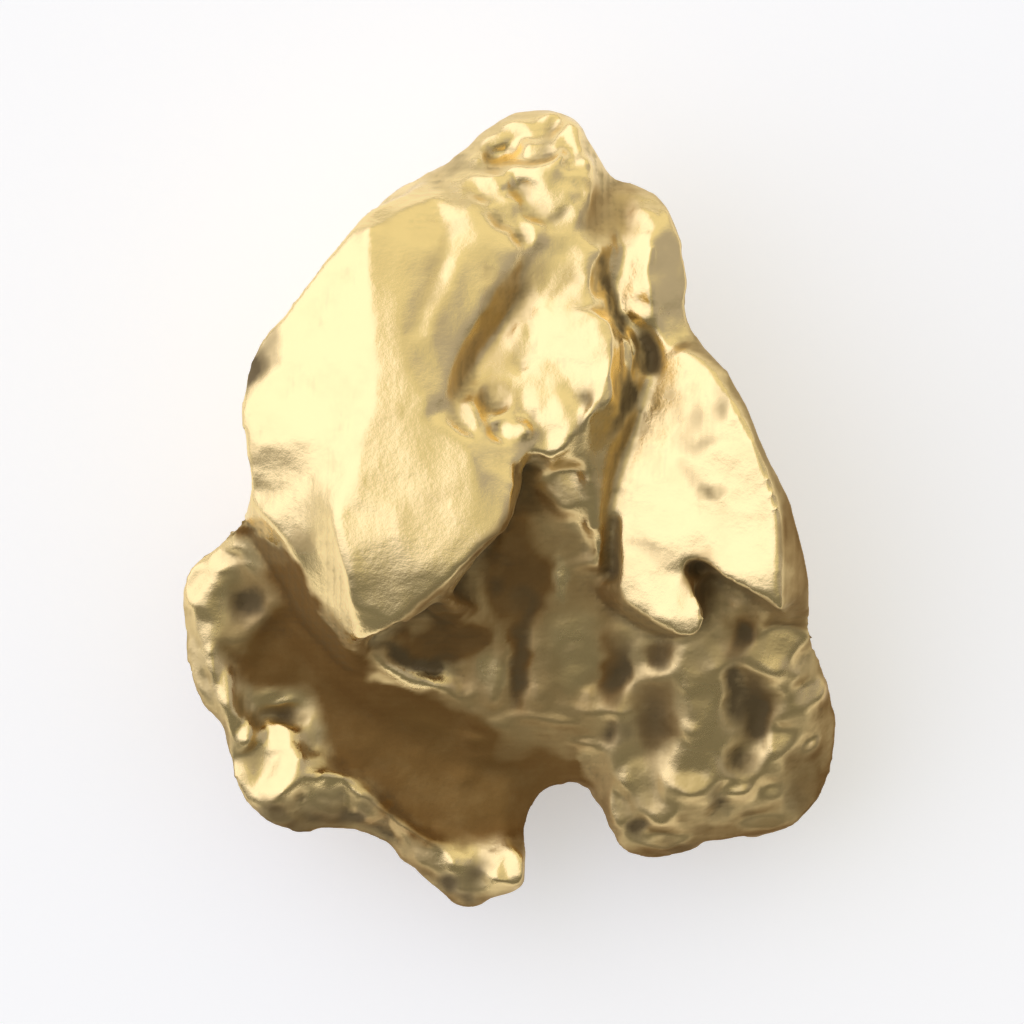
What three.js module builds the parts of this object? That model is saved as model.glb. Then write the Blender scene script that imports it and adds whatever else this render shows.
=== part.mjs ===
// A natural gold nugget, lying on its worn underside.
// Millimetres, +Z up. The origin is the middle of the bounding box on the ground plane.
//
// The nugget is one lump of metal. Its skin is two sheets that meet along the outline: the
// upper sheet carries the relief, and the lower sheet rounds under to one flat worn facet.
// Each sheet is the Delaunay triangulation, in plan, of its feature lines.

import * as THREE from 'three';
import { ConvexHull } from 'three/addons/math/ConvexHull.js';

// Driving dimensions
const OUTLINE_STEP = 0.42; // spacing of the points along the outline
const LINE_STEP = 0.5; // spacing of the points along a feature line
const MERGE_GAP = 0.2; // two feature points nearer than this in plan are one
const EDGE_GAP = 0.24; // feature points keep this far from the outline
const WORN_FACET_Z = 0; // height of the facet that the nugget lies on

// The outline seen from above, clockwise from the crown: [x, y, z].
const outline = [
  [1.2, 12.1, 7.2], [2.0, 11.85, 7.3], [2.5, 11.1, 7.6], [2.9, 10.35, 7.5], // crown
  [3.2, 10.02, 7.2], [3.85, 9.87, 7.3], [4.5, 9.45, 7.6], [4.95, 8.7, 7.9], // knob
  [5.15, 7.8, 8.1], [5.3, 6.6, 8.1], [5.28, 5.7, 8.0],
  [5.65, 5.15, 8.1], [6.25, 4.5, 8.8], [6.9, 3.45, 9.3], [7.45, 2.25, 9.5], // leaf
  [7.95, 1.15, 9.5], [8.4, 0.2, 9.4], [8.7, -0.7, 9.2], [8.88, -1.8, 8.9],
  [8.97, -3.0, 8.0], [9.12, -3.9, 6.8], [9.57, -4.9, 5.7], [9.88, -6.0, 5.1], // root
  [9.88, -7.2, 4.6], [9.62, -8.25, 4.2], [9.05, -9.15, 3.9], [8.1, -9.75, 3.7],
  [6.9, -9.97, 3.6], [5.9, -10.07, 3.6], [5.1, -10.42, 3.5], [4.2, -10.57, 3.5],
  [3.35, -10.3, 3.7], [2.88, -9.6, 3.9], [2.67, -8.8, 4.0],
  [2.4, -8.25, 4.0], [1.75, -8.22, 3.9], [1.0, -8.5, 3.8], [0.65, -9.1, 3.7], // notch
  [0.55, -9.9, 3.8], [0.58, -10.8, 4.1], [0.4, -11.4, 4.1], // foot
  [-0.4, -11.8, 3.8], [-1.2, -12.15, 3.4], [-2.0, -11.8, 3.5],
  [-2.95, -11.0, 3.6], [-3.75, -10.2, 3.8], [-4.5, -9.8, 3.8], // rim
  [-5.5, -9.7, 3.9], [-6.6, -9.77, 4.1], [-7.45, -9.4, 4.4], [-8.1, -8.7, 4.6],
  [-8.4, -7.8, 4.8], [-8.52, -7.1, 4.8], [-8.87, -6.4, 4.9], [-9.4, -5.7, 5.0],
  [-9.67, -4.8, 5.2], [-9.83, -3.8, 5.3],
  [-9.92, -2.8, 5.5], [-9.67, -1.75, 5.9], [-9.05, -1.05, 6.0], [-8.35, -0.45, 6.9], // ball
  [-7.9, 0.15, 8.1], [-7.77, 0.9, 8.7], [-7.92, 2.0, 8.8], [-7.98, 3.1, 8.9], // plate
  [-7.82, 4.25, 9.0], [-7.37, 5.15, 9.1], [-6.55, 6.1, 9.35], [-5.65, 7.25, 9.6],
  [-4.85, 8.25, 9.7], [-4.25, 8.85, 9.5], [-3.25, 9.45, 8.9], [-2.2, 10.05, 8.0],
  [-1.5, 10.8, 7.5], [-0.6, 11.6, 7.3], [0.3, 12.0, 7.2],
];

// Lines of the upper sheet, as [x, y, z]. Ridges and valleys that were named together
// belong to one mass of the nugget.
const upperLines = {
  // plate: the big smooth shield on the left
  plateTop: [[-3.8, 8.4, 10.0], [-2.9, 9.0, 9.5], [-2.0, 9.5, 8.9]],
  crease: [[-4.2, 8.3, 10.1], [-4.2, 7.0, 10.35], [-4.15, 5.6, 10.5], [-4.0, 4.4, 10.65],
    [-4.0, 3.2, 10.75], [-4.4, 2.2, 10.7], [-4.65, 1.0, 10.65], [-5.1, 0.1, 10.55],
    [-5.0, -0.9, 10.55], [-4.75, -1.9, 10.45], [-4.6, -2.8, 10.15], [-4.5, -3.5, 9.6]],
  stripEdge: [[-5.75, 2.2, 10.0], [-5.95, 1.0, 9.8], [-6.05, -0.3, 9.6], [-5.6, -1.2, 9.6],
    [-5.3, -2.0, 9.5], [-5.25, -2.9, 9.1], [-4.95, -3.5, 8.8]],
  faceStep: [[-7.3, 2.0, 9.3], [-6.5, 2.1, 9.7], [-5.75, 2.2, 10.1]],
  lip: [[0.15, 1.25, 10.5], [0.05, 0.5, 10.85], [-0.1, -0.4, 10.95], [-0.8, -1.1, 10.95],
    [-1.5, -1.75, 10.8], [-2.2, -2.4, 10.55], [-3.1, -3.1, 10.3], [-3.8, -3.6, 9.95],
    [-4.5, -3.75, 9.45]],
  plateSwell: [[-2.4, 3.2, 10.85], [-2.9, 1.8, 10.85], [-3.2, 0.6, 10.8], [-3.3, -0.8, 10.75],
    [-3.6, -2.0, 10.5]],
  plateRight: [[-1.3, 2.2, 10.9], [-1.0, 1.2, 11.0], [-1.1, 0.1, 11.0], [-1.7, -0.9, 10.9],
    [-2.4, -1.7, 10.75]],
  plateSkirt: [[-7.3, -0.1, 8.9], [-6.7, -0.75, 9.1], [-6.3, -1.5, 9.0], [-5.95, -2.2, 8.8],
    [-5.6, -2.9, 8.5], [-5.05, -3.6, 8.2], [-4.7, -4.3, 7.1]],
  wrinkleGroove: [[-1.75, 7.75, 9.95], [-2.2, 6.8, 10.2], [-2.5, 6.1, 10.4], [-2.8, 5.3, 10.52]],
  wrinkleRidge: [[-1.4, 7.7, 10.0], [-1.85, 6.7, 10.28], [-2.2, 5.9, 10.45], [-2.3, 5.1, 10.6]],
  plateUpper: [[-3.1, 7.9, 10.1], [-3.3, 6.4, 10.45], [-3.3, 4.9, 10.65]],
  shoulder: [[-1.2, 8.9, 9.6], [-0.6, 8.1, 9.9], [-0.9, 7.0, 10.1], [-1.4, 5.9, 10.3]],

  // gully: the deep slot right of the plate
  gullyBrow: [[0.15, 7.7, 9.8], [-0.35, 6.9, 10.1], [-0.85, 6.0, 10.2], [-1.4, 5.1, 10.3],
    [-1.8, 4.2, 10.5], [-2.0, 3.4, 10.7]],
  gully: [[0.75, 7.2, 9.2], [0.3, 6.35, 9.2], [-0.25, 5.5, 9.25], [-0.85, 4.7, 9.4],
    [-1.3, 3.8, 9.8], [-1.6, 3.1, 10.4]],
  gullyBank: [[1.0, 6.7, 9.3], [0.5, 5.8, 9.3], [0.0, 5.0, 9.4], [-0.55, 4.3, 9.6],
    [-1.0, 3.5, 10.1], [-1.3, 2.7, 10.6]],

  // crown: the knuckled top
  crownCrest: [[-1.55, 10.2, 8.4], [-0.9, 9.85, 8.8], [0.0, 10.1, 8.9], [0.8, 10.15, 9.0],
    [1.4, 10.4, 9.0], [1.75, 11.1, 8.5], [1.65, 11.5, 8.1]],
  crownBrow: [[-0.9, 10.75, 8.1], [0.0, 11.3, 8.0], [0.9, 11.55, 7.9]],
  crownRight: [[2.3, 10.6, 8.3], [2.45, 10.0, 8.7], [2.35, 9.4, 9.0], [2.0, 8.8, 9.1],
    [1.9, 8.2, 9.2]],
  crownHollow: [[-0.5, 10.6, 7.6], [0.1, 10.7, 7.8], [0.8, 10.9, 8.0]],
  crownSlot: [[0.15, 9.7, 8.55], [0.4, 9.3, 8.75], [0.7, 8.9, 8.9]],
  crownBack: [[0.9, 9.6, 9.0], [1.2, 9.1, 9.1], [1.1, 8.5, 9.3], [0.6, 8.1, 9.5]],
  crownFoot: [[1.6, 7.6, 9.2], [2.3, 7.3, 9.4], [2.7, 7.7, 9.2]],

  // knob: the thumb on the upper right
  saddle: [[3.0, 9.65, 7.7], [2.85, 9.1, 8.2], [2.5, 8.5, 8.6]],
  knobRidge: [[3.7, 9.35, 7.9], [4.1, 8.8, 8.4], [4.2, 8.0, 8.7], [4.2, 7.0, 8.8],
    [4.25, 6.1, 8.7], [4.4, 5.5, 8.5]],
  knobCheek: [[3.35, 8.6, 8.1], [3.45, 7.8, 8.3], [3.4, 6.9, 8.35], [3.65, 6.1, 8.4],
    [3.95, 5.6, 8.4]],
  knobGroove: [[2.95, 8.0, 8.7], [2.87, 7.1, 8.5], [3.05, 6.3, 8.35], [3.5, 5.55, 8.2],
    [3.95, 4.8, 8.1], [4.2, 4.1, 8.2]],
  blade: [[2.85, 6.3, 9.2], [3.05, 5.6, 9.3], [3.45, 4.95, 9.2], [3.8, 4.2, 8.9]],

  // heart: the bright lump in the middle
  heartBrow: [[0.9, 5.7, 9.5], [1.5, 6.2, 9.5], [2.2, 6.4, 9.6]],
  heartCrest: [[2.9, 5.0, 10.3], [2.85, 4.2, 10.5], [2.75, 3.4, 10.5], [2.2, 2.7, 10.4],
    [1.75, 2.25, 10.2], [1.15, 1.6, 10.0], [0.5, 1.95, 10.15], [-0.2, 2.15, 10.35], [-0.6, 2.35, 10.45]],
  heartLeft: [[0.6, 4.9, 9.5], [0.3, 4.0, 9.75], [0.1, 3.1, 10.05]],
  heartFlank: [[1.3, 1.1, 9.1], [1.7, 0.3, 8.6], [2.1, -0.5, 8.1], [2.3, -1.0, 7.7]],
  heartSpur: [[2.35, 1.7, 9.5], [2.4, 0.7, 9.15], [2.45, -0.2, 8.8], [2.45, -0.9, 8.4]],
  spurEdge: [[3.2, 4.0, 9.7], [3.35, 3.2, 9.3], [3.15, 2.4, 9.25], [2.85, 1.6, 9.15],
    [2.75, 0.5, 8.85], [2.7, -0.6, 8.4], [2.6, -1.5, 7.8]],
  cleft: [[3.45, 4.1, 8.8], [3.7, 3.4, 8.5], [3.5, 2.6, 8.4], [3.12, 1.6, 8.3],
    [3.0, 0.4, 8.0], [2.95, -0.8, 7.5], [2.88, -1.7, 7.0]],

  // leaf: the broad bright scale on the right
  leafLeft: [[4.45, 4.35, 8.6], [4.1, 3.5, 8.6], [4.0, 2.7, 8.6], [3.6, 1.9, 8.5],
    [3.32, 1.0, 8.5], [3.28, 0.0, 8.45], [3.22, -1.2, 8.4], [3.2, -2.1, 8.3]],
  leafTop: [[4.75, 4.85, 8.5], [5.4, 4.65, 9.0], [5.95, 4.15, 9.4]],
  leafRight: [[6.6, 3.2, 9.9], [7.15, 2.1, 10.1], [7.6, 1.0, 10.2], [7.9, -0.1, 10.2],
    [7.95, -1.4, 10.15], [7.98, -2.9, 9.9]],
  leafHem: [[7.3, -2.45, 9.9], [6.4, -2.0, 9.65], [5.8, -1.5, 9.4], [5.35, -1.15, 9.25],
    [5.05, -1.65, 9.1], [5.35, -2.35, 9.2], [5.75, -3.05, 9.25], [5.4, -3.75, 9.0],
    [4.8, -3.6, 8.8], [4.1, -3.2, 8.55], [3.55, -2.75, 8.35]],
  leafRib: [[5.2, 3.0, 9.2], [5.4, 1.6, 9.3], [5.5, 0.2, 9.3]],
  leafSide: [[8.2, -0.4, 9.8], [8.4, -1.5, 9.6], [8.45, -2.6, 9.25]],

  // throat: the dark hollow under the lip
  throatTop: [[0.75, 1.15, 8.7], [0.55, 0.5, 8.5], [0.35, -0.4, 8.2], [-0.3, -1.3, 7.9],
    [-1.2, -2.2, 7.6], [-2.2, -3.0, 7.3], [-3.1, -3.7, 7.0], [-3.9, -4.0, 7.0]],
  throatFloor: [[0.95, 0.2, 8.3], [0.9, -0.9, 7.8], [0.6, -2.1, 7.2], [0.3, -3.2, 6.7],
    [0.2, -4.4, 6.1], [0.1, -5.6, 5.5]],
  throatStreak: [[1.4, -1.3, 7.6], [1.5, -2.4, 7.1], [1.2, -3.6, 6.6], [0.8, -4.7, 6.1],
    [0.7, -5.6, 5.7]],
  throatRib: [[-0.8, -2.9, 7.0], [-0.5, -3.9, 6.5], [-0.7, -4.9, 5.9], [-0.9, -5.7, 5.5]],
  throatRight: [[2.5, -2.2, 7.0], [2.7, -3.2, 6.7], [2.4, -4.3, 6.2], [2.1, -5.3, 5.8]],
  throatPocket: [[-1.4, -3.7, 6.4], [-2.1, -4.3, 5.9], [-2.5, -4.7, 5.7], [-1.6, -4.9, 5.5]],
  dividingRidge: [[-4.6, -4.1, 7.2], [-4.0, -4.4, 6.7], [-3.2, -4.9, 6.2], [-2.4, -5.2, 5.9],
    [-1.8, -5.35, 5.7], [-1.3, -5.9, 5.4]],
  sill: [[-0.7, -6.5, 5.2], [0.3, -6.2, 5.35], [1.3, -6.15, 5.5], [2.3, -6.1, 5.7]],
  sillLow: [[-0.6, -7.0, 4.8], [0.5, -7.1, 4.8], [1.5, -6.8, 5.0], [2.3, -6.9, 5.1],
    [2.8, -7.5, 4.9]],

  // bowl: the smooth scoop at the lower left
  bowlWall: [[-7.75, -0.75, 6.9], [-7.2, -1.5, 6.8], [-6.7, -2.3, 6.6], [-6.3, -3.1, 6.3],
    [-5.6, -3.9, 6.1], [-5.0, -4.6, 5.9]],
  bowlUnderRidge: [[-4.2, -4.9, 6.0], [-3.4, -5.4, 5.6], [-2.4, -5.8, 5.2], [-1.6, -6.3, 4.9]],
  bowlFloor: [[-7.0, -3.6, 5.6], [-6.0, -4.7, 5.3], [-4.6, -5.9, 4.9], [-3.0, -6.9, 4.6],
    [-1.5, -7.6, 4.4], [0.2, -7.9, 4.2], [1.5, -7.7, 4.2]],
  bowlGutter: [[-8.2, -4.6, 5.2], [-7.3, -5.2, 5.0], [-6.1, -5.6, 4.85], [-5.5, -6.6, 4.65],
    [-5.2, -7.5, 4.5], [-4.4, -7.9, 4.4], [-3.5, -8.7, 4.3], [-2.5, -9.5, 4.2],
    [-1.2, -9.8, 4.15], [-0.2, -9.5, 4.1]],

  // ball and rim: the beaded edge round the bowl
  ballRing: [[-9.15, -2.6, 6.1], [-8.85, -1.9, 6.3], [-8.2, -1.5, 6.5], [-7.6, -1.8, 6.6],
    [-7.25, -2.4, 6.5], [-7.3, -3.0, 6.2], [-7.8, -3.5, 6.0], [-8.5, -3.4, 5.9],
    [-9.15, -2.6, 6.1]],
  rimLeft: [[-9.35, -3.5, 5.7], [-9.1, -4.2, 5.7], [-8.8, -5.0, 5.6], [-8.5, -5.8, 5.5],
    [-8.1, -6.6, 5.4], [-7.85, -6.9, 5.3]],
  knuckleTop: [[-7.75, -5.8, 4.9], [-7.0, -5.65, 4.9], [-6.4, -5.95, 4.6]],
  knuckleSlot: [[-7.5, -6.2, 4.5], [-6.8, -6.15, 4.3]],
  knuckleFace: [[-7.35, -6.6, 4.75], [-6.9, -6.5, 4.95], [-6.5, -6.7, 5.05], [-6.0, -6.9, 4.7]],
  knuckleCrest: [[-7.1, -7.15, 5.0], [-6.3, -7.3, 5.2], [-6.1, -7.8, 5.2], [-6.6, -8.3, 5.3],
    [-7.2, -8.75, 5.1], [-7.7, -8.4, 4.9], [-8.0, -7.8, 4.9]],
  knuckleDent: [[-7.7, -7.3, 4.7], [-7.3, -7.7, 4.7]],
  bead: [[-5.85, -7.9, 5.0], [-5.2, -7.95, 4.9]],
  cord: [[-4.8, -8.1, 4.8], [-4.2, -8.65, 4.8], [-3.5, -9.25, 4.7], [-2.8, -9.75, 4.6],
    [-2.2, -10.2, 4.7]],
  rimOuter: [[-6.6, -9.1, 4.6], [-5.8, -8.7, 4.5], [-4.9, -9.0, 4.2], [-4.0, -9.35, 4.1],
    [-3.2, -10.1, 4.0], [-2.5, -10.8, 3.9]],

  // foot: the square toe at the bottom
  footTop: [[-1.9, -10.5, 4.7], [-1.0, -10.35, 4.4], [-0.1, -9.98, 4.5], [0.25, -10.3, 4.8]],
  footToe: [[0.3, -11.0, 4.9], [-0.3, -11.15, 4.8], [-0.8, -10.9, 4.6], [-1.3, -10.85, 4.5],
    [-1.9, -11.1, 4.3]],
  footEnd: [[-0.5, -11.5, 4.3], [-1.25, -11.7, 3.9]],

  // root: the lumpy mass at the lower right
  leafShadow: [[7.75, -3.25, 8.0], [6.9, -2.75, 7.7], [6.2, -2.3, 7.6], [5.6, -1.8, 7.6]],
  tongueShadow: [[5.85, -2.6, 7.4], [6.1, -3.2, 7.2], [5.6, -4.0, 7.0], [4.8, -3.95, 6.7],
    [4.0, -3.55, 6.6], [3.3, -3.1, 6.6]],
  rootSpine: [[6.5, -3.4, 7.2], [6.2, -4.3, 6.9], [6.2, -5.2, 6.5], [6.3, -6.1, 6.1]],
  rootBlock: [[7.35, -3.5, 7.2], [8.0, -3.35, 7.25], [8.6, -3.5, 7.0], [8.4, -4.4, 6.85],
    [7.95, -4.85, 6.85], [7.2, -4.4, 7.0], [7.35, -3.5, 7.2]],
  rootShoulder: [[8.3, -5.6, 6.3], [8.8, -5.2, 6.45], [9.35, -5.1, 6.0], [9.3, -5.8, 5.7],
    [8.7, -6.0, 6.1]],
  rootWeb: [[3.9, -3.9, 6.5], [3.9, -4.6, 6.3], [3.7, -5.2, 6.1], [3.2, -5.95, 5.9]],
  rootFork: [[5.4, -4.1, 6.9], [4.9, -4.8, 6.6], [4.2, -5.0, 6.4]],
  rootHip: [[5.4, -5.0, 6.6], [5.4, -5.7, 6.35], [5.5, -6.5, 6.15], [5.2, -7.3, 5.7],
    [5.5, -8.0, 5.6], [5.9, -8.5, 5.4]],
  rootBead: [[6.2, -7.4, 5.6], [6.5, -8.0, 5.4], [7.1, -8.4, 5.1]],
  rootRight: [[8.1, -6.5, 5.9], [8.0, -7.2, 5.6], [8.3, -7.7, 5.2], [7.6, -7.8, 5.3]],
  rootLeft: [[3.3, -6.9, 5.5], [3.1, -7.8, 5.0], [3.2, -8.8, 4.7], [3.5, -9.7, 4.2]],
  rootToe: [[4.1, -9.0, 4.9], [4.5, -9.5, 4.8], [5.0, -9.1, 5.0]],
  rootSole: [[4.1, -10.05, 4.0], [4.9, -9.95, 4.0], [5.6, -9.6, 4.2], [6.6, -9.4, 4.2],
    [7.7, -9.2, 4.2], [8.6, -8.7, 4.4], [9.2, -7.8, 4.6], [9.3, -6.9, 5.1]],
};

// Lines whose points are drawn in under the mass above them, by [x, y], to make an overhang.
const tucks = {
  throatTop: [-0.5, 0.35],
  cleft: [0.3, 0],
  leafShadow: [-0.05, 0.4],
  tongueShadow: [-0.25, 0.3],
};

// Single bumps and pits of the upper sheet: [x, y, z].
const upperPoints = [
  [-7.95, -2.7, 5.8], // pit in the ball
  [-7.45, 4.75, 8.3], // nick in the plate's brink
  [-1.8, -2.6, 9.15], // chip on the lip
  [1.3, 8.8, 9.0], [2.2, 3.3, 10.0], [-0.4, 3.5, 9.5], // pits of crown and heart
  [3.35, -4.9, 5.7], [4.45, -4.3, 6.3], [3.05, -6.6, 5.3], [4.3, -5.9, 5.7], // pits of the root
  [4.35, -7.0, 5.3], [6.75, -5.0, 6.25], [7.35, -5.9, 5.6], [7.4, -6.7, 5.4],
  [6.85, -7.4, 5.1], [3.8, -9.4, 4.3], [6.3, -8.7, 4.8], [7.3, -8.8, 4.6],
  [7.0, -3.7, 6.9], [8.75, -8.2, 4.6], [6.7, -6.6, 5.8],
];

// The lower sheet. Its points lie on rings inside the outline. The height falls off smoothly
// from the outline's own, the faster the nearer the outline is, except where a fold is.
const lowerRings = [0.35, 0.85, 1.5, 2.3, 3.2]; // distances inside the outline
const RING_GAP = 0.4; // ring points nearer than this in plan are one
const RING_CLEARANCE = 0.8; // least share of a ring's distance that must be left all round
const FLANK_FALL = 1.7; // distance over which the height falls to 1/e
const FLANK_ROUND = 1.25; // above 1, the flank turns under more gently
const FOLD_REST = 0.6; // share of the fall that is left at the bottom of a fold
const RIM_REACH = 1; // the outline's lowest point within this of the nearest one counts
const EDGE_DROP = 0.5; // extra fall, reached over EDGE_ROUND, that keeps the brink thick
const EDGE_ROUND = 0.3;
const LEAST_HEIGHT = 0.15; // least height of a flank point over the ground
const SOFT_REACH = 1.1; // the flank's low points are softened over this radius
const SOFT_ROUNDS = 2;
const LOBE_DEPTH = 0.25; // how much the fall sways, as a share
const LOBES = 11; // times that it sways on the way round
const LOBE_DRIFT = 0.9; // how far the swaying leans with the distance inward
// Folds of the flank: [distance round the outline from the crown, half width, depth].
const folds = [
  [4.6, 1.0, 0.9], [9.8, 1.3, 0.6], [15.5, 0.9, 0.8], [20.0, 1.5, 0.9], [25.5, 1.0, 0.6],
  [29.5, 0.8, 0.8], [41.0, 1.2, 0.6], [46.0, 0.8, 0.9], [50.5, 1.4, 0.7], [55.5, 1.0, 1.0],
  [60.5, 1.6, 0.8], [65.0, 0.9, 0.9], [69.5, 1.2, 0.6],
];
// The facet that stream wear has flattened: the nugget lies on it.
const wornFacet = [[-4.6, 3.4], [-1.6, 5.6], [2.2, 5.2], [4.6, 2.4], [5.6, -2.4],
  [4.4, -5.8], [0.8, -5.2], [-3.4, -3.4]];
const FACET_INNER = 0.55; // the facet's inner ring, as a share of its size
const FACET_STEP = 1; // spacing of the points along the facet's edge

const plan = (a, b) => Math.hypot(a.x - b.x, a.y - b.y);

function samples(points, step, closed = false) {
  const curve = new THREE.CatmullRomCurve3(
    points.map((p) => new THREE.Vector3(...p)), closed, 'chordal');
  const count = Math.max(1, Math.round(curve.getLength() / step));
  const found = curve.getSpacedPoints(count);
  return closed ? found.slice(0, -1) : found;
}

function insideLoop(p, loop) {
  let inside = false;
  loop.forEach((a, i) => {
    const b = loop[(i + 1) % loop.length];
    const crosses = a.y > p.y !== b.y > p.y;
    if (crosses && p.x < ((b.x - a.x) * (p.y - a.y)) / (b.y - a.y) + a.x) inside = !inside;
  });
  return inside;
}

// Keeps the points that lie inside the loop, clear of it and of each other.
function thinned(points, loop, edgeGap, gap = MERGE_GAP) {
  const kept = [];
  for (const p of points) {
    const clearOfEdge = insideLoop(p, loop) && loop.every((q) => plan(p, q) >= edgeGap);
    if (clearOfEdge && kept.every((q) => plan(p, q) >= gap)) kept.push(p);
  }
  return kept;
}

// Delaunay triangles in plan: the underside of the hull of the points raised to x² + y².
function delaunay(points) {
  const raised = points.map((p) => new THREE.Vector3(p.x, p.y, p.x * p.x + p.y * p.y));
  const order = new Map(raised.map((p, i) => [p, i]));
  const hull = new ConvexHull().setFromPoints(raised);
  return hull.faces
    .filter((face) => face.normal.z < 0)
    .map((face) => [face.edge, face.edge.next, face.edge.next.next]
      .map((edge) => order.get(edge.head().point)));
}

// One sheet's triangles, wound to face up or down, inside the outline.
function sheet(points, loop, facesUp) {
  return delaunay(points)
    .filter(([a, b, c]) => {
      const centre = points[a].clone().add(points[b]).add(points[c]).divideScalar(3);
      return insideLoop(centre, loop);
    })
    .map(([a, b, c]) => {
      const [p, q, r] = [points[a], points[b], points[c]];
      const turn = (q.x - p.x) * (r.y - p.y) - (q.y - p.y) * (r.x - p.x);
      return turn > 0 === facesUp ? [a, b, c] : [a, c, b];
    });
}

function foldDepth(distance, around) {
  return folds.reduce((sum, [at, halfWidth, depth]) => {
    const gap = Math.abs(distance - at);
    return sum + depth * Math.exp(-((Math.min(gap, around - gap) / halfWidth) ** 2));
  }, 0);
}

// Height of the lower sheet: the brink's nearby, times exp(-(fall / FLANK_FALL)^FLANK_ROUND).
function flankHeight(p, loop) {
  const nearest = loop.reduce((best, q, i) => (plan(p, q) < plan(p, loop[best]) ? i : best), 0);
  const distance = plan(p, loop[nearest]);
  const nearby = loop.filter((q) => plan(p, q) < distance + RIM_REACH);
  const brink = Math.min(...nearby.map((q) => q.z));
  const turn = (2 * Math.PI * nearest) / loop.length;
  const sway = 1 + LOBE_DEPTH * Math.sin(LOBES * turn + LOBE_DRIFT * distance);
  const fold = foldDepth(nearest * OUTLINE_STEP, loop.length * OUTLINE_STEP);
  const fall = Math.max(FOLD_REST * distance, distance * sway - fold);
  const drop = EDGE_DROP * (1 - Math.exp(-distance / EDGE_ROUND));
  const height = brink * Math.exp(-((fall / FLANK_FALL) ** FLANK_ROUND)) - drop;
  return Math.max(height, LEAST_HEIGHT);
}

function ringPoints(loop, inset) {
  const facet = wornFacet.map(([x, y]) => new THREE.Vector2(x, y));
  const points = loop.map((p, i) => {
    const before = loop[(i + loop.length - 1) % loop.length];
    const after = loop[(i + 1) % loop.length];
    const inward = new THREE.Vector2(after.y - before.y, before.x - after.x).setLength(inset);
    return new THREE.Vector3(p.x + inward.x, p.y + inward.y, 0);
  });
  const kept = thinned(points, loop, inset * RING_CLEARANCE).filter((p) => !insideLoop(p, facet));
  kept.forEach((p) => { p.z = flankHeight(p, loop); });
  return kept;
}

// Low points raised to the mean of those nearby, which rounds the keels under narrow lobes.
function soften(points) {
  const levels = points.map((p) => {
    const near = points.filter((q) => plan(p, q) < SOFT_REACH);
    return near.reduce((sum, q) => sum + q.z, 0) / near.length;
  });
  points.forEach((p, i) => { p.z = Math.max(p.z, levels[i]); });
}

function facetPoints() {
  const edge = wornFacet.map(([x, y]) => [x, y, WORN_FACET_Z]);
  const inner = wornFacet.map(([x, y]) => [x * FACET_INNER, y * FACET_INNER, WORN_FACET_Z]);
  const rim = edge.flatMap((p, i) => {
    const q = edge[(i + 1) % edge.length];
    return samples([p, q], FACET_STEP).slice(0, -1);
  });
  return [...rim, ...inner.map((p) => new THREE.Vector3(...p))];
}

function nuggetGeometry() {
  const loop = samples(outline, OUTLINE_STEP, true);
  const drawnIn = new Map();
  const lines = Object.entries(upperLines).flatMap(([name, line]) => {
    const points = samples(line, LINE_STEP);
    points.forEach((p) => drawnIn.set(p, tucks[name] ?? [0, 0]));
    return points;
  });
  const relief = thinned(
    [...upperPoints.map((p) => new THREE.Vector3(...p)), ...lines], loop, EDGE_GAP);
  const rings = lowerRings.flatMap((inset) => ringPoints(loop, inset));
  for (let round = 0; round < SOFT_ROUNDS; round += 1) soften(rings);
  const under = thinned([...facetPoints(), ...rings], loop, EDGE_GAP, RING_GAP);

  const upper = sheet([...loop, ...relief], loop, true);
  const lower = sheet([...loop, ...under], loop, false).map((triangle) =>
    triangle.map((i) => (i < loop.length ? i : i + relief.length)));
  relief.forEach((p) => {
    const [dx, dy] = drawnIn.get(p) ?? [0, 0];
    p.x += dx;
    p.y += dy;
  });
  const vertices = [...loop, ...relief, ...under];
  const geometry = new THREE.BufferGeometry()
    .setAttribute('position', new THREE.Float32BufferAttribute(
      vertices.flatMap((p) => p.toArray()), 3))
    .setIndex([...upper, ...lower].flat());
  geometry.computeBoundingBox();
  const middle = geometry.boundingBox.getCenter(new THREE.Vector3());
  return geometry.translate(-middle.x, -middle.y, 0);
}

const gold = new THREE.MeshStandardMaterial({
  name: 'native_gold', color: 0xe8cf83, metalness: 1, roughness: 0.3, flatShading: true,
});

const nugget = new THREE.Mesh(nuggetGeometry(), gold);
nugget.name = 'nugget';

const specimen = new THREE.Group();
specimen.add(nugget);

export default specimen;
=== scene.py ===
import itertools
import math

import bpy
import numpy as np
from mathutils import Matrix


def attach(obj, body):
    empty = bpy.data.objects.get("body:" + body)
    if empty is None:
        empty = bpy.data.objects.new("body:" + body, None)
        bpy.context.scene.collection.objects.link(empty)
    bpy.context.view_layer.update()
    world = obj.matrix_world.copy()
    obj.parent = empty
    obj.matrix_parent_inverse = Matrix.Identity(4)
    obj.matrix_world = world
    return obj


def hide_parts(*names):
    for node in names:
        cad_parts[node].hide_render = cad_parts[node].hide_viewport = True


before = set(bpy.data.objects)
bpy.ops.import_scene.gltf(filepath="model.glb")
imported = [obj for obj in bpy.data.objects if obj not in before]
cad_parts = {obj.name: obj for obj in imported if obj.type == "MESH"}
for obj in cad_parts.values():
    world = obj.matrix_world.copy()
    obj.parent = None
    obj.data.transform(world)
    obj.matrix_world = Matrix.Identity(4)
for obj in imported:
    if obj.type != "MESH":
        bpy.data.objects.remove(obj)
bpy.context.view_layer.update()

mm = 0.001       # the shapes below are worked out in millimetres
tiny = 1e-12     # keeps a division by nothing from failing
cellStart = 100  # added to cell numbers, so that none is below 0
cellSpan = 1000  # more than the cells that lie side by side
plan = slice(0, 2)  # x and y of a vertex

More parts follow.
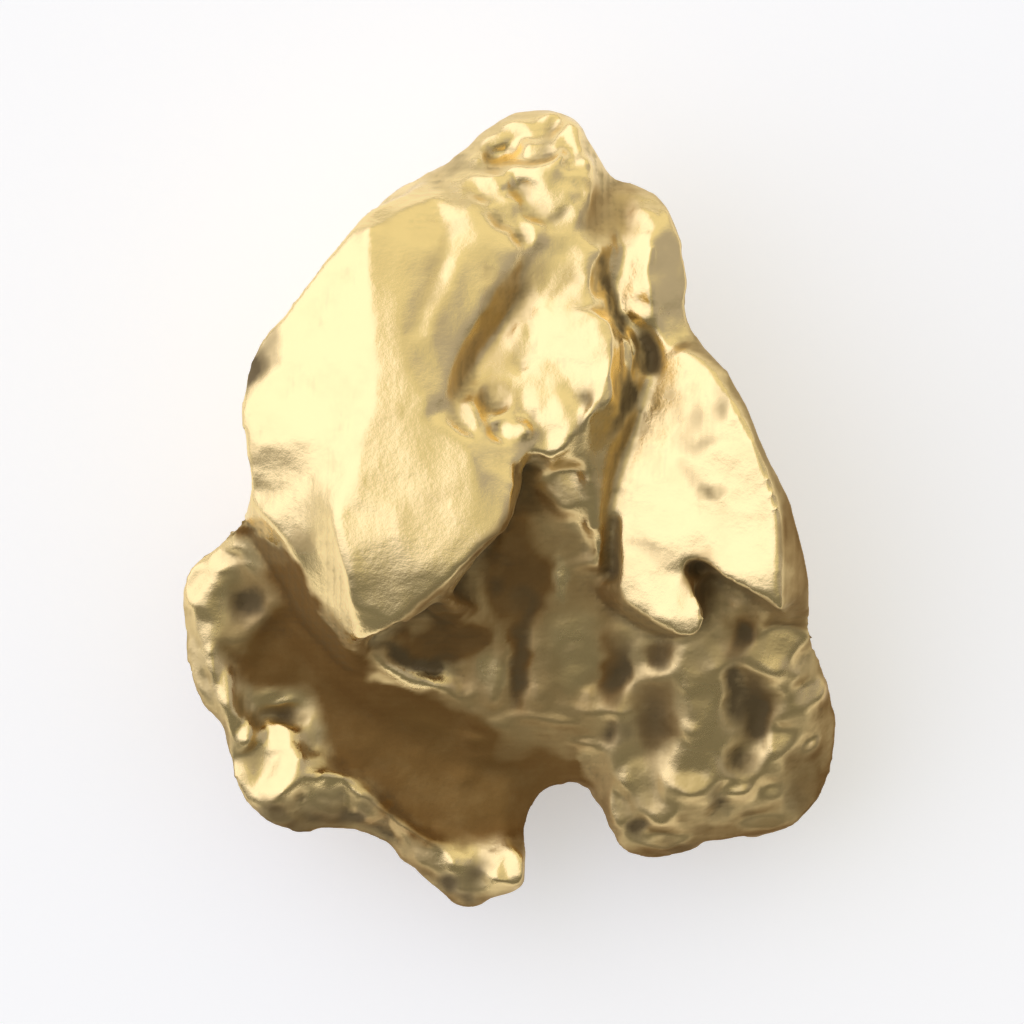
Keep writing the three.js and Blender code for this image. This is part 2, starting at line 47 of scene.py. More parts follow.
# where each noise's random numbers start
randomSet = dict(marks=80, sway=95, lumps=150, warp=60, grain=20, stainsAndPaintedLight=120, lean=7, shade=19)

# whole numbers that scatter a cell's x, y, z and random set, and one that mixes the result
hashX, hashY, hashZ, hashSet, hashMix = 374761393, 668265263, 1440662683, 974634777, 1274126177


def hashed(x, y, z, salt):
    # integer cell and random set (salt) -> a fixed number from 0 to 1
    h = (x * hashX + y * hashY + z * hashZ + salt * hashSet) & 0xFFFFFFFF
    h = ((h ^ (h >> 13)) * hashMix) & 0xFFFFFFFF
    return ((h ^ (h >> 16)) & 0xFFFFFF) / 0xFFFFFF


def threeOf(column):
    # three columns side by side, for x, y and z; column takes 0, 1 or 2
    return np.stack([column(k) for k in range(3)], axis=1)


def swell(points, size, salt):
    # value noise, -1 to 1: random corner values blended with a smooth step in x, y and z
    p = points / size + cellStart
    cell = np.floor(p).astype(np.int64)
    f = p - cell
    f = f * f * f * (f * (f * 6 - 15) + 10)
    total = 0
    for dx, dy, dz in itertools.product((0, 1), repeat=3):
        corner = hashed(cell[:, 0] + dx, cell[:, 1] + dy, cell[:, 2] + dz, salt)
        weight = ((f[:, 0] if dx else 1 - f[:, 0]) * (f[:, 1] if dy else 1 - f[:, 1])
                  * (f[:, 2] if dz else 1 - f[:, 2]))
        total = total + corner * weight
    return total * 2 - 1


def fractal(points, size, salt, octaves=3, fade=0.5):
    # swells added up, each half the size and fade times the height of the last
    total, height, full = 0, 1.0, 0
    for i in range(octaves):
        total = total + height * swell(points, size / 2 ** i, salt + i)
        full += height
        height *= fade
    return total / full


def scattered(cell, salt, margin=0.0):
    # the 27 cells around each cell, and in each its one random point, margin or more from its sides
    for shift in itertools.product((-1, 0, 1), repeat=3):
        c = cell + shift
        place = threeOf(lambda k: hashed(c[:, 0], c[:, 1], c[:, 2], salt + k))
        yield c, c + margin + (1 - 2 * margin) * place


def dents(points, size, salt, margin=0.15):
    # hammer dents: squared distance to the nearest scattered point, 0 at its middle and 1 at most
    p = points / size + cellStart
    nearest = np.ones(len(p))
    for _, at in scattered(np.floor(p).astype(np.int64), salt, margin):
        nearest = np.minimum(nearest, ((p - at) ** 2).sum(1))
    return nearest


def flats(v, n, size, tilt, salt, agreeing=(0.7, 0.9), leaving=(0.09, 0.22)):
    # crystal faces: the skin is parted into cells round scattered points, and each vertex moves
    # onto the plane through its cell's mean point; the plane's normal is the cell's mean normal,
    # tilted at random. The move fades where the skin turns away from that plane (agreeing, the
    # cosine between them) and where it lies far off it (leaving, in sizes).
    p = v / size + cellStart
    nearest = np.full(len(p), np.inf)
    mine = np.zeros(len(p), dtype=np.int64)
    for c, at in scattered(np.floor(p).astype(np.int64), salt):
        distance = ((p - at) ** 2).sum(1)
        closer = distance < nearest
        mine[closer] = ((c[:, 0] * cellSpan + c[:, 1]) * cellSpan + c[:, 2])[closer]
        nearest = np.minimum(nearest, distance)
    number, group = np.unique(mine, return_inverse=True)
    members = np.bincount(group)[:, None]
    tilt = (np.bincount(group, tilt) / members[:, 0])[:, None]
    middle = threeOf(lambda k: np.bincount(group, v[:, k])) / members
    facing = threeOf(lambda k: np.bincount(group, n[:, k]))
    facing /= np.maximum(np.linalg.norm(facing, axis=1, keepdims=True), tiny)
    blank = number * 0
    lean = salt + randomSet["lean"]
    facing += tilt * threeOf(lambda k: hashed(number, blank, blank, lean + k) * 2 - 1)
    facing /= np.linalg.norm(facing, axis=1, keepdims=True)
    facing, middle = facing[group], middle[group]
    gap = ((middle - v) * facing).sum(1)
    agrees = step((facing * n).sum(1), *agreeing)
    agrees *= 1 - step(np.abs(gap), leaving[0] * size, leaving[1] * size)
    shades = hashed(number, blank, blank, salt + randomSet["shade"])
    return facing * (gap * agrees)[:, None], shades[group]


def neighbourMean(values, edges, count):
    # mean of the values at each vertex's neighbours
    out = np.zeros_like(values)
    for k in range(values.shape[1]):
        out[:, k] = (np.bincount(edges[:, 0], values[edges[:, 1], k], count)
                     + np.bincount(edges[:, 1], values[edges[:, 0], k], count))
    degree = np.bincount(edges.ravel(), minlength=count)
    return out / degree[:, None]


def smoothed(values, edges, rounds, keepSize=True, there=0.6, back=0.62):
    # Taubin: a step toward the neighbours' mean, then a slightly longer one back
    v = values.copy()
    for _ in range(rounds):
        v = v + there * (neighbourMean(v, edges, len(v)) - v)
        if keepSize:
            v = v - back * (neighbourMean(v, edges, len(v)) - v)
    return v


def eased(v, edges, rounds, share, keepSize=True):
    # moved by a share, one number per vertex, of the way to its smoothed place
    return v + (smoothed(v, edges, rounds, keepSize) - v) * share[:, None]


def spread(values, edges, rounds):
    # a single number per vertex, blended into its neighbours'
    return smoothed(values[:, None], edges, rounds, keepSize=False)[:, 0]


def normalsOf(v, quads):
    # each quad's cross product of its diagonals, added up at its corners
    cross = np.cross(v[quads[:, 2]] - v[quads[:, 0]], v[quads[:, 3]] - v[quads[:, 1]])
    n = np.zeros_like(v)
    for k in range(3):
        for corner in range(4):
            n[:, k] += np.bincount(quads[:, corner], cross[:, k], len(v))
    return n / np.maximum(np.linalg.norm(n, axis=1, keepdims=True), tiny)


def step(x, low, high):
    # smooth step from 0 at low to 1 at high
    t = np.clip((x - low) / (high - low), 0, 1)
    return t * t * (3 - 2 * t)


def alongLine(p, path):
    # for each point of the plan: distance to a line of points, and how far along it, 0 to 1
    nearest = np.full(len(p), np.inf)
    share = np.zeros(len(p))
    lengths = [math.dist(a, b) for a, b in zip(path[:-1], path[1:])]
    done = 0.0
    for a, b, length in zip(path[:-1], path[1:], lengths):
        a, b = np.array(a), np.array(b)
        t = np.clip(((p - a) @ (b - a)) / length ** 2, 0, 1)
        distance = np.linalg.norm(p - a - t[:, None] * (b - a), axis=1)
        closer = distance < nearest
        share[closer] = (done + t[closer] * length) / sum(lengths)
        nearest = np.minimum(nearest, distance)
        done += length
    return nearest, share


def within(p, loop, blur):
    # 1 well inside a closed loop in plan, 0 well outside, with a soft border blur wide
    inside = np.zeros(len(p), dtype=bool)
    for (ax, ay), (bx, by) in zip(loop, loop[1:] + loop[:1]):
        crosses = (ay > p[:, 1]) != (by > p[:, 1])
        inside ^= crosses & (p[:, 0] < (bx - ax) * (p[:, 1] - ay) / ((by - ay) or tiny) + ax)
    distance, _ = alongLine(p, loop + loop[:1])
    return step(np.where(inside, distance, -distance), -blur / 2, blur / 2)


# a pair of numbers is where an effect begins and where it is full; normals go by their height, n.z
skin = dict(
    # the mesh, and rounds of smoothing
    voxel=0.125,
    weld=0.002,
    hair=0.06,               # how far the skin is grown for the remesh, so that its thin edges survive it
    drawn=0.02,              # how far it is drawn back after
    drawnSmooth=4,
    firstSmooth=5,
    wear=10,                 # blunts the sharpest edges
    sharp=(0.04, 0.16),      # how bent an edge is where it gets worn
    sharpSmooth=2,
    settle=2,                # after each shaping
    lastSmooth=1,
    # upper side and underside
    upper=(-0.15, 0.25),
    upperSmooth=8,
    lower=(-0.1, 0.35),
    lowerDepth=(0.3, 1.5),   # how far under its neighbours the skin counts as underside
    lowerSmooth=12,
    underSmooth=60,          # wears the underside soft before it is worked
    underSwell=0.55,         # height of the broad lumps of the flanks and underside
    underSwellSize=3.2,
    underSwellLevel=-0.25,
    underDents=0.08,
    # closed-in share given to the flanks and underside, which makes them a little more olive: partly
    # painted shade
    underShelter=0.35,
    # masses and marks
    wander=0.35,             # how far the marks' outlines stray
    patchWander=0.5,
    wanderSize=0.9,
    border=0.6,              # width of the soft border between masses
    bareShare=0.02,          # weight of the skin outside every mass
    easeSmooth=30,
    calmSmooth=16,
    swaySize=0.7,
    markDepth=0.4,
    marked=(0.1, 0.4),       # marks fade where the skin gets steeper than this
    # crystal faces: size, tilt, depth on the upper side, depth below, random set
    faces=[(2.4, 0.25, 0.0, 0.9, 260), (1.15, 0.10, 0.8, 0.8, 200), (0.6, 0.12, 0.7, 0.6, 230)],
    smallFace=1.0,           # faces under this size count as small
    faceSmooth=8,
    faceBorder=(0.75, 1.35), # where a plane's or chip's pull fades, in radii
    faceGap=(0.4, 0.9),      # how far off it the skin is where it fades
    faceDepth=0.8,
    # hammer marks: (share, size, random set), then how their sum is scaled and lowered
    hammer=[(0.65, 1.5, 5), (0.35, 0.8, 9)],
    hammerScale=2.2,
    hammerLevel=-0.7,
    warpSize=1.7,
    warp=0.25,
    grainSize=0.7,
    # shelter and hollows, for the colours: partly patina, partly painted shade in closed-in places
    cell=0.2,
    reach=2.6,               # margin of the height grid
    looks=(0.25, 0.4, 0.6, 0.9, 1.3, 1.8, 2.5),  # distances at which higher ground is looked for
    turns=12,                # and the directions
    overhang=3,              # cells round a place in which higher ground is looked for
    broadSmooth=30,
    hollowFull=0.2,
    # stains, partly painted shade and painted highlight
    steep=(0.45, 0.85),
    cutDarkDepth=0.3,           # height of a cut mark at which it is darkest: partly dirt, partly painted shade
    # how far cut marks turn olive and dark: partly dirt, partly painted shade
    cutOlive=0.4,
    cutDarkening=0.8,
    faceOlive=0.5,
    edgeIron=0.35,
    patchBorder=(0.5, 1.3),  # where a patch of stain and painted light fades, in radii
    patchesShown=(0.0, 0.3),
)

# how a mass of the nugget is worked by the stream, unless it says otherwise:
# dents = shallow hammer marks, grain = fine unevenness (mm), flats = how far crystal faces show,
# tilt = how far they lean apart, fine = how far the small ones show,
# calm = how far the small marks are worn away, ease = how far the mass is smoothed,
# olive and iron = olive and brown on the upper side, partly stain, partly painted shade; edge = olive on
# the flank
usual = dict(
    dents=0.03, flats=0.5, tilt=0.6, fine=0, calm=0.3, grain=0.02, olive=0, ironAndShade=0, edge=0.5, ease=0,
)

# the same for skin outside every mass
bare = dict(
    dents=0.05, flats=0.9, tilt=1, fine=0.5, calm=0, grain=0.03, olive=0.35, ironAndShade=0.1, edge=0.35, ease=0,
)

# the masses, each a loop in plan and what it does differently
masses = dict(
    plate=dict(
        loop=[
            (-4.2, 9.2), (-8.4, 4.5), (-8.4, 0.6), (-6.3, -1.3), (-5.0, -3.8), (-3.9, -3.7),
            (-1.0, -1.4), (0.2, 0.6), (-0.6, 2.6), (-1.9, 3.2), (-0.8, 7.5), (-2.2, 9.9),
        ],
        dents=0.025, flats=0, tilt=0.3, grain=0.012, edge=0.05, ease=0.35,
    ),
    crown=dict(
        loop=[
            (-2.4, 10.0), (-0.8, 7.8), (1.0, 6.8), (2.6, 7.6), (3.2, 10.0), (2.4, 12.4), (0.0, 12.6),
        ],
        flats=0.6, tilt=0.7, fine=0.3, calm=0.7, olive=0.1, edge=0.25,
    ),
    knob=dict(
        loop=[
            (2.9, 10.2), (2.6, 8.2), (3.0, 6.4), (4.2, 5.0), (5.6, 5.4), (5.6, 9.4), (4.4, 10.2),
        ],
        dents=0.02, tilt=0.5, fine=0.4, calm=0.6, olive=0.05, edge=0.6,
    ),
    gully=dict(
        loop=[
            (0.6, 8.0), (-0.6, 6.4), (-2.0, 3.4), (-1.4, 2.6), (0.6, 5.6), (1.1, 7.3),
        ],
        dents=0.02, flats=0.3, tilt=0.5, calm=0.6, olive=0.1, ironAndShade=0.3,
    ),
    heart=dict(
        loop=[
            (0.9, 6.8), (-1.4, 3.4), (-0.8, 2.0), (1.1, 1.4), (3.1, 2.8), (3.2, 5.6), (2.5, 6.9),
        ],
        fine=0.5, edge=0.2,
    ),
    spur=dict(
        loop=[
            (1.1, 1.3), (3.2, 2.8), (3.5, 1.2), (2.9, -1.6), (2.2, -1.2),
        ],
        flats=0.3, tilt=0.5, calm=0.9, ironAndShade=0.1, edge=0.4,
    ),
    leaf=dict(
        loop=[
            (4.6, 5.4), (3.2, 1.2), (2.9, -2.4), (5.3, -4.2), (6.3, -2.6), (9.0, -3.2), (9.2, -0.6),
            (6.4, 5.2),
        ],
        dents=0.02, flats=0.35, calm=0.7, edge=0.95,
    ),
    # the throat's brown, olive and dark tones are partly patina, partly painted shade under the lip
    throat=dict(
        loop=[
            (0.6, 1.3), (-0.6, -1.2), (-4.6, -4.2), (-2.2, -5.6), (-0.4, -7.4), (3.2, -7.0),
            (3.4, -3.6), (2.3, -1.0),
        ],
        dents=0.02, flats=0.9, tilt=1, calm=0.9, olive=0.3, ironAndShade=0.55, edge=0.8,
    ),
    # the bowl's brown is partly stain, partly painted reflection of gold on gold in the hollow
    bowl=dict(
        loop=[
            (-8.0, -0.6), (-6.4, -1.6), (-4.8, -4.3), (-1.6, -5.8), (0.6, -7.0), (2.6, -8.0),
            (0.2, -9.9), (-2.4, -9.9), (-4.7, -8.0), (-5.3, -7.6), (-5.5, -6.4), (-6.2, -5.4),
            (-7.9, -5.3), (-8.6, -4.2),
        ],
        dents=0.01, flats=0.1, tilt=0.3, calm=1, olive=0.2, ironAndShade=1, edge=1, ease=1,
    ),
    ball=dict(
        loop=[
            (-10.2, -3.4), (-9.4, -1.0), (-7.8, -0.8), (-7.0, -2.6), (-8.2, -4.0),
        ],
        flats=0.8, tilt=1, fine=0.5, calm=0.2, olive=0.1, ironAndShade=0.1, edge=0.3,
    ),
    rim=dict(
        loop=[
            (-10.2, -3.6), (-8.6, -4.2), (-7.9, -5.3), (-6.2, -5.4), (-5.5, -6.4), (-5.3, -7.6),
            (-4.7, -8.0), (-2.4, -9.9), (0.8, -9.8), (0.8, -12.6), (-10.2, -10.4),
        ],
        flats=0.8, tilt=1, fine=0.4, olive=0.3, ironAndShade=0.05, edge=0.9,
    ),
    root=dict(
        loop=[
            (3.4, -3.0), (5.4, -3.9), (6.0, -2.2), (9.2, -3.0), (10.6, -5.0), (10.2, -10.2),
            (2.6, -11.0), (2.2, -7.4),
        ],
        flats=0.8, calm=0.8, olive=0.36, ironAndShade=0.2, edge=1,
    ),
)

# marks in plan (mm). strokes: (height, half width, points), raised above 0 and cut below it
strokes = [
    # plate
    (-0.30, 0.35, [(-7.0, 5.3), (-7.4, 4.4), (-7.8, 3.7)]),
    (-0.20, 0.22, [(-7.9, 1.55), (-7.55, 1.5)]),
    (-0.06, 0.30, [(-1.3, 8.6), (-2.0, 7.4), (-2.8, 5.5)]),
    (0.06, 0.30, [(-0.9, 8.2), (-1.7, 6.9), (-2.3, 5.4)]),
    # crown
    (-0.14, 0.26, [(-0.35, 10.6), (0.15, 10.72)]),
    (-0.15, 0.30, [(-1.9, 10.4), (-0.8, 10.3)]),
    (0.15, 0.35, [(-1.6, 9.95), (-0.7, 9.75), (0.1, 10.05), (0.8, 10.1)]),
    (0.18, 0.35, [(1.85, 11.6), (1.8, 10.9), (1.6, 10.35), (2.3, 10.2)]),
    (-0.12, 0.22, [(0.2, 9.7), (0.6, 8.9)]),
    (-0.12, 0.30, [(0.8, 11.0), (1.35, 10.9)]),
    # knob and the groove beside it
    (-0.35, 0.22, [(2.95, 7.6), (2.97, 6.7), (3.2, 6.0), (3.6, 5.4)]),
    (-0.35, 0.30, [(4.15, 5.2), (4.25, 4.2)]),
    (0.25, 0.26, [(3.05, 5.5), (3.5, 4.8), (3.85, 3.9)]),
    # heart
    (-0.30, 0.32, [(3.25, 4.4), (3.6, 3.6), (3.5, 2.9), (3.05, 2.4)]),
    (-0.16, 0.20, [(2.3, 3.7), (2.25, 3.1)]),
    (-0.18, 0.22, [(1.85, 2.9), (1.95, 2.3)]),
    (-0.15, 0.22, [(0.65, 3.0), (0.85, 2.0)]),
    (0.12, 0.30, [(-1.2, 3.8), (-1.25, 2.8), (-0.4, 2.45), (0.5, 2.1)]),
    # leaf
    (-0.12, 0.25, [(6.1, 3.8), (6.3, 3.1)]),
    (-0.06, 0.22, [(5.15, 1.6), (5.45, 1.0), (5.85, 0.65)]),
    (-0.06, 0.25, [(3.5, -0.9), (4.2, -1.0), (4.9, -1.4)]),
    (-0.06, 0.30, [(5.0, 2.3), (5.6, 2.0), (6.6, 2.2)]),
    # throat
    (0.14, 0.25, [(1.35, -1.5), (1.55, -2.3)]),
    (0.20, 0.28, [(-0.1, -4.2), (-0.3, -5.0), (-0.6, -5.6)]),
    (0.16, 0.28, [(0.75, -4.1), (0.7, -5.6)]),
    (-0.35, 0.24, [(0.4, -3.0), (0.3, -4.4), (0.25, -5.8)]),
    (0.14, 0.25, [(-1.1, -4.7), (-1.2, -5.5)]),
    (-0.25, 0.35, [(-4.0, -3.95), (-3.0, -4.4), (-2.2, -4.8)]),
    (0.25, 0.26, [(-4.2, -4.1), (-3.4, -4.7), (-2.7, -5.05), (-1.9, -5.15), (-1.6, -5.5)]),
    (0.16, 0.28, [(0.9, -6.3), (1.6, -6.1), (2.6, -6.1)]),
    (0.14, 0.30, [(-0.3, -6.4), (0.6, -6.0)]),
    (0.16, 0.22, [(2.45, -0.9), (2.75, -1.8)]),
    # ball, rim, cord and foot
    (0.20, 0.30, [(-8.8, -4.3), (-8.45, -5.4), (-8.2, -6.3)]),
    (-0.08, 0.25, [(-7.3, -6.15), (-6.4, -6.1)]),
    (0.18, 0.28, [(-7.3, -5.65), (-6.5, -5.75)]),
    (0.55, 0.30, [(-5.9, -7.95), (-5.1, -7.98)]),
    (0.28, 0.24, [(-4.95, -8.25), (-4.35, -8.75), (-3.75, -9.3), (-3.0, -10.0)]),
    (-0.25, 0.32, [(-4.0, -9.2), (-3.3, -9.9)]),
    (0.15, 0.30, [(-6.9, -6.6), (-6.5, -7.5), (-7.2, -8.4)]),
    # root
    (-0.21, 0.30, [(6.65, -4.6), (6.6, -5.4), (6.8, -6.2)]),
    (-0.21, 0.50, [(7.3, -5.4), (7.3, -6.2), (7.4, -6.8)]),
    (-0.21, 0.70, [(4.35, -5.6), (4.35, -7.0)]),
    (0.20, 0.25, [(2.95, -5.9), (3.45, -6.35)]),
    (0.17, 0.28, [(1.8, -6.85), (2.4, -7.0), (2.85, -7.6)]),
    (-0.20, 0.34, [(3.55, -3.9), (3.45, -4.7), (2.75, -5.6)]),
    (0.07, 0.26, [(3.9, -4.5), (4.4, -5.0), (4.9, -4.7), (5.5, -3.95)]),
    (0.15, 0.30, [(5.8, -7.3), (6.3, -7.9), (6.7, -8.3), (7.4, -8.4)]),
    (0.10, 0.25, [(5.15, -6.9), (5.15, -7.6), (5.5, -8.0)]),
    (0.15, 0.25, [(4.0, -8.9), (4.45, -9.45), (4.95, -9.0)]),
    (0.10, 0.25, [(4.45, -9.45), (4.5, -10.0)]),
    (0.10, 0.30, [(7.5, -7.3), (7.8, -8.2), (8.1, -8.8)]),
    (-0.21, 0.30, [(6.9, -3.3), (7.1, -4.1)]),
    (0.10, 0.26, [(6.1, -4.4), (6.3, -5.4), (6.3, -6.3)]),
]

# spots: (x, y, radius, height)
spots = [
    (1.3, 8.85, 0.25, -0.18), (2.85, 3.2, 0.22, -0.12), (5.9, 0.6, 0.3, -0.12),
    (5.5, 2.75, 0.35, -0.08), (5.9, 2.1, 0.4, -0.06), (4.6, 3.6, 0.25, -0.05), (6.7, -2.85, 0.3, 0.2),
    (0.5, -2.7, 0.45, -0.2), (-0.4, -2.2, 0.4, -0.15), (1.75, -4.2, 0.25, -0.1),
    (-1.45, -5.3, 0.25, -0.15), (-2.2, -4.65, 0.35, -0.2), (-0.9, -6.85, 0.35, 0.16),
    (0.4, -7.1, 0.28, 0.14), (-1.4, -8.1, 0.45, 0.1), (1.4, -7.55, 0.35, 0.14),
    (-2.35, -6.4, 0.35, 0.1), (2.3, -5.5, 0.25, 0.12), (3.4, -3.4, 0.3, 0.1),
    (-7.85, -2.75, 0.55, -0.25), (-5.9, -8.65, 0.35, 0.15), (-5.95, -9.1, 0.25, -0.12),
    (-1.85, -11.1, 0.35, -0.3), (-1.0, -10.85, 0.4, -0.18), (-1.3, -11.75, 0.25, -0.12),
    (5.4, -6.4, 0.4, 0.1), (5.45, -5.15, 0.3, 0.08), (3.0, -6.7, 0.35, -0.17),
    (4.5, -4.3, 0.45, -0.11), (9.05, -7.0, 0.3, 0.11), (8.4, -8.8, 0.35, -0.08),
    (6.3, -8.75, 0.3, -0.17), (7.2, -9.1, 0.4, -0.08), (6.9, -7.6, 0.4, -0.11),
    (3.8, -9.5, 0.32, -0.19), (6.45, -7.0, 0.3, 0.07),
]

# stains: (x, y, half width, half height, strength); above 0 partly painted shade, below 0 where the metal
# is rubbed clean, partly painted highlight
stainsAndPaintedLight = dict(
    # brown patches: partly iron stain, partly painted shade under the lip and in the throat; below 0
    # lighter, partly painted highlight
    ironAndShade=[
        (1.7, 0.8, 0.8, 1.0, 0.12), (-5.5, -7.97, 0.5, 0.2, -0.7), (2.75, 8.9, 1.0, 1.0, 0.45),
        (-7.2, -1.2, 0.9, 0.7, -0.55), (-6.2, -0.9, 0.5, 0.4, 0.3), (5.6, -2.1, 0.6, 0.9, 0.7),
        (-0.4, 3.5, 0.5, 0.6, 0.25), (1.2, 6.9, 1.5, 0.7, 0.08), (-2.2, 6.6, 0.4, 1.5, 0.1),
        (0.1, -1.9, 1.1, 1.7, 0.65), (0.5, 0.2, 0.6, 1.0, 0.2), (-1.9, -3.9, 1.6, 0.8, 0.7),
        (0.35, -4.5, 0.22, 1.4, 0.5), (8.5, -1.0, 0.5, 2.2, 0.45), (4.3, -6.2, 0.7, 1.2, 0.6),
        (7.3, -6.0, 0.6, 1.0, 0.5), (3.2, -4.8, 0.5, 1.1, 0.6), (9.0, -8.4, 0.8, 1.0, 0.5),
        (6.8, -3.6, 0.6, 0.8, 0.6), (4.5, -4.1, 0.5, 0.4, 0.6), (-5.4, -9.1, 1.8, 0.6, 0.5),
        (-3.6, -9.7, 0.8, 0.6, 0.3), (-1.8, -6.9, 1.4, 0.9, 0.4), (-3.1, -4.85, 1.4, 0.45, -0.9),
        (2.0, -4.1, 0.8, 1.3, -0.35), (-0.45, -4.5, 0.35, 1.1, -0.35), (1.5, -1.9, 0.3, 0.7, -0.5),
        (4.5, -10.4, 1.8, 0.4, 0.35), (7.5, -9.8, 1.9, 0.5, 0.35), (9.7, -7.3, 0.5, 2.2, 0.35),
        (-6.5, -9.7, 2.0, 0.4, 0.3), (-3.2, -10.9, 1.0, 0.9, 0.3), (-0.9, -11.9, 1.2, 0.4, 0.4),
    ],
    # darkest patches: grime, and painted shade under the lip and in pits; below 0 lighter, partly painted
    # highlight
    grimeAndShade=[
        (0.0, 10.7, 0.6, 0.4, -0.7), (0.45, 9.4, 0.4, 0.6, -0.7), (3.45, 4.7, 0.3, 0.9, -0.4),
        (1.8, 0.6, 0.9, 1.2, -0.6), (-5.5, -7.97, 0.5, 0.2, -1.0), (-4.65, -8.55, 0.3, 0.3, -0.8),
        (-3.95, -9.15, 0.3, 0.3, -0.8), (-3.25, -9.75, 0.3, 0.3, -0.8), (-4.6, -9.1, 0.7, 0.35, 0.45),
        (-6.9, -9.3, 0.8, 0.3, 0.4), (0.1, -1.8, 1.0, 1.6, 0.3), (-1.9, -3.8, 1.5, 0.7, 0.3),
        (-2.4, -4.6, 0.9, 0.4, 0.4), (4.2, 4.8, 0.5, 0.9, 0.3), (-7.8, 4.1, 0.3, 0.6, 0.8),
        (-7.85, -2.8, 0.7, 0.6, 0.5), (7.3, -6.0, 0.6, 1.2, 0.55), (6.65, -5.2, 0.3, 0.9, 0.5),
        (4.35, -6.2, 0.7, 1.2, 0.3), (9.0, -8.0, 0.9, 1.2, 0.15), (-5.3, -8.8, 1.6, 0.6, 0.45),
        (-3.7, -9.5, 0.9, 0.6, 0.3), (-1.6, -11.2, 0.6, 0.5, 0.45), (3.3, -4.8, 0.4, 1.1, 0.5),
        (4.5, -4.2, 0.45, 0.5, 0.55), (3.05, -6.7, 0.4, 0.4, 0.5), (6.9, -3.9, 0.4, 0.7, 0.4),
        (6.8, -7.6, 0.5, 0.5, 0.35), (6.3, -8.7, 0.3, 0.45, 0.4), (3.8, -9.5, 0.35, 0.4, 0.5),
        (8.5, -8.8, 0.5, 0.6, 0.25), (-7.6, -7.5, 0.5, 0.5, 0.15), (-7.2, -9.2, 0.7, 0.4, 0.25),
        (3.5, 7.1, 0.6, 1.4, -0.4), (2.35, 0.05, 0.4, 0.8, -0.9), (1.8, 1.2, 0.6, 0.6, -0.4),
        (8.0, -4.1, 0.7, 0.8, -0.5), (5.5, -8.1, 0.9, 0.7, -0.5), (-0.7, 5.4, 0.5, 1.4, -0.3),
        (3.5, 7.1, 0.5, 1.2, -0.3), (5.2, -10.2, 0.5, 0.3, 0.3),
    ],
    # olive patches: partly stain; those below 0 are partly painted highlight, lighter where the metal
    # would shine
    olive=[
        (0.0, 10.7, 0.6, 0.4, -0.6), (3.45, 4.7, 0.3, 0.9, -0.6), (1.8, 0.8, 0.9, 1.2, -0.6),
        (-5.5, -7.97, 0.5, 0.2, -1.0), (-6.8, -6.1, 0.7, 0.2, 0.3), (-3.4, -2.4, 0.9, 0.8, 0.08),
        (-1.6, -1.0, 0.5, 0.9, 0.12), (6.3, 3.3, 0.35, 0.6, 0.45), (5.9, 0.6, 0.4, 0.3, 0.7),
        (5.7, 2.4, 0.7, 0.6, 0.2), (2.4, 3.4, 0.3, 0.5, 0.3), (-6.9, 0.2, 1.0, 0.9, 0.06),
        (4.1, -1.0, 0.9, 0.15, 0.25), (7.3, 1.6, 0.4, 0.5, 0.15), (3.5, 7.1, 0.6, 1.4, -0.5),
        (2.35, 0.05, 0.4, 0.8, -0.9), (1.8, 1.2, 0.6, 0.6, -0.5), (8.0, -4.1, 0.8, 0.9, -1.0),
        (9.0, -5.4, 0.7, 0.6, -0.9), (5.5, -8.1, 0.9, 0.7, -0.9), (5.5, -5.3, 0.5, 0.5, -0.6),
        (5.5, -6.5, 0.5, 0.5, -0.6), (8.1, -7.0, 0.6, 0.8, -0.5), (7.3, -8.4, 0.6, 0.3, -0.8),
        (4.5, -9.4, 0.6, 0.4, -0.7), (2.3, -7.0, 0.6, 0.3, -0.9), (3.2, -6.1, 0.4, 0.25, -0.9),
        (1.5, -1.9, 0.25, 0.6, -0.4), (-0.5, -4.8, 0.4, 0.9, -0.3), (2.0, -4.2, 0.8, 1.1, -0.15),
        (0.0, -10.7, 0.6, 0.6, -0.5), (-8.0, -6.5, 0.4, 0.5, -0.5), (-7.0, -6.8, 0.6, 0.6, -0.8),
        (-7.0, -7.8, 0.5, 0.7, -0.6), (-3.2, -4.9, 1.3, 0.4, -1.0), (-4.65, -8.55, 0.3, 0.3, -0.9),
        (-3.95, -9.15, 0.3, 0.3, -0.9), (-3.25, -9.75, 0.3, 0.3, -0.9), (-0.7, 5.4, 0.5, 1.4, -0.4),
        (-2.2, -10.5, 0.6, 0.5, -0.3), (9.0, -7.0, 0.35, 0.3, -0.9), (-0.2, 2.5, 0.9, 0.4, -0.4),
        (-3.7, -2.5, 0.8, 0.7, -0.5), (-9.3, -2.2, 0.5, 0.8, -0.3), (-7.4, -8.2, 0.5, 0.5, -0.4),
        (-6.5, -7.6, 0.4, 0.5, -0.4),
    ],
)

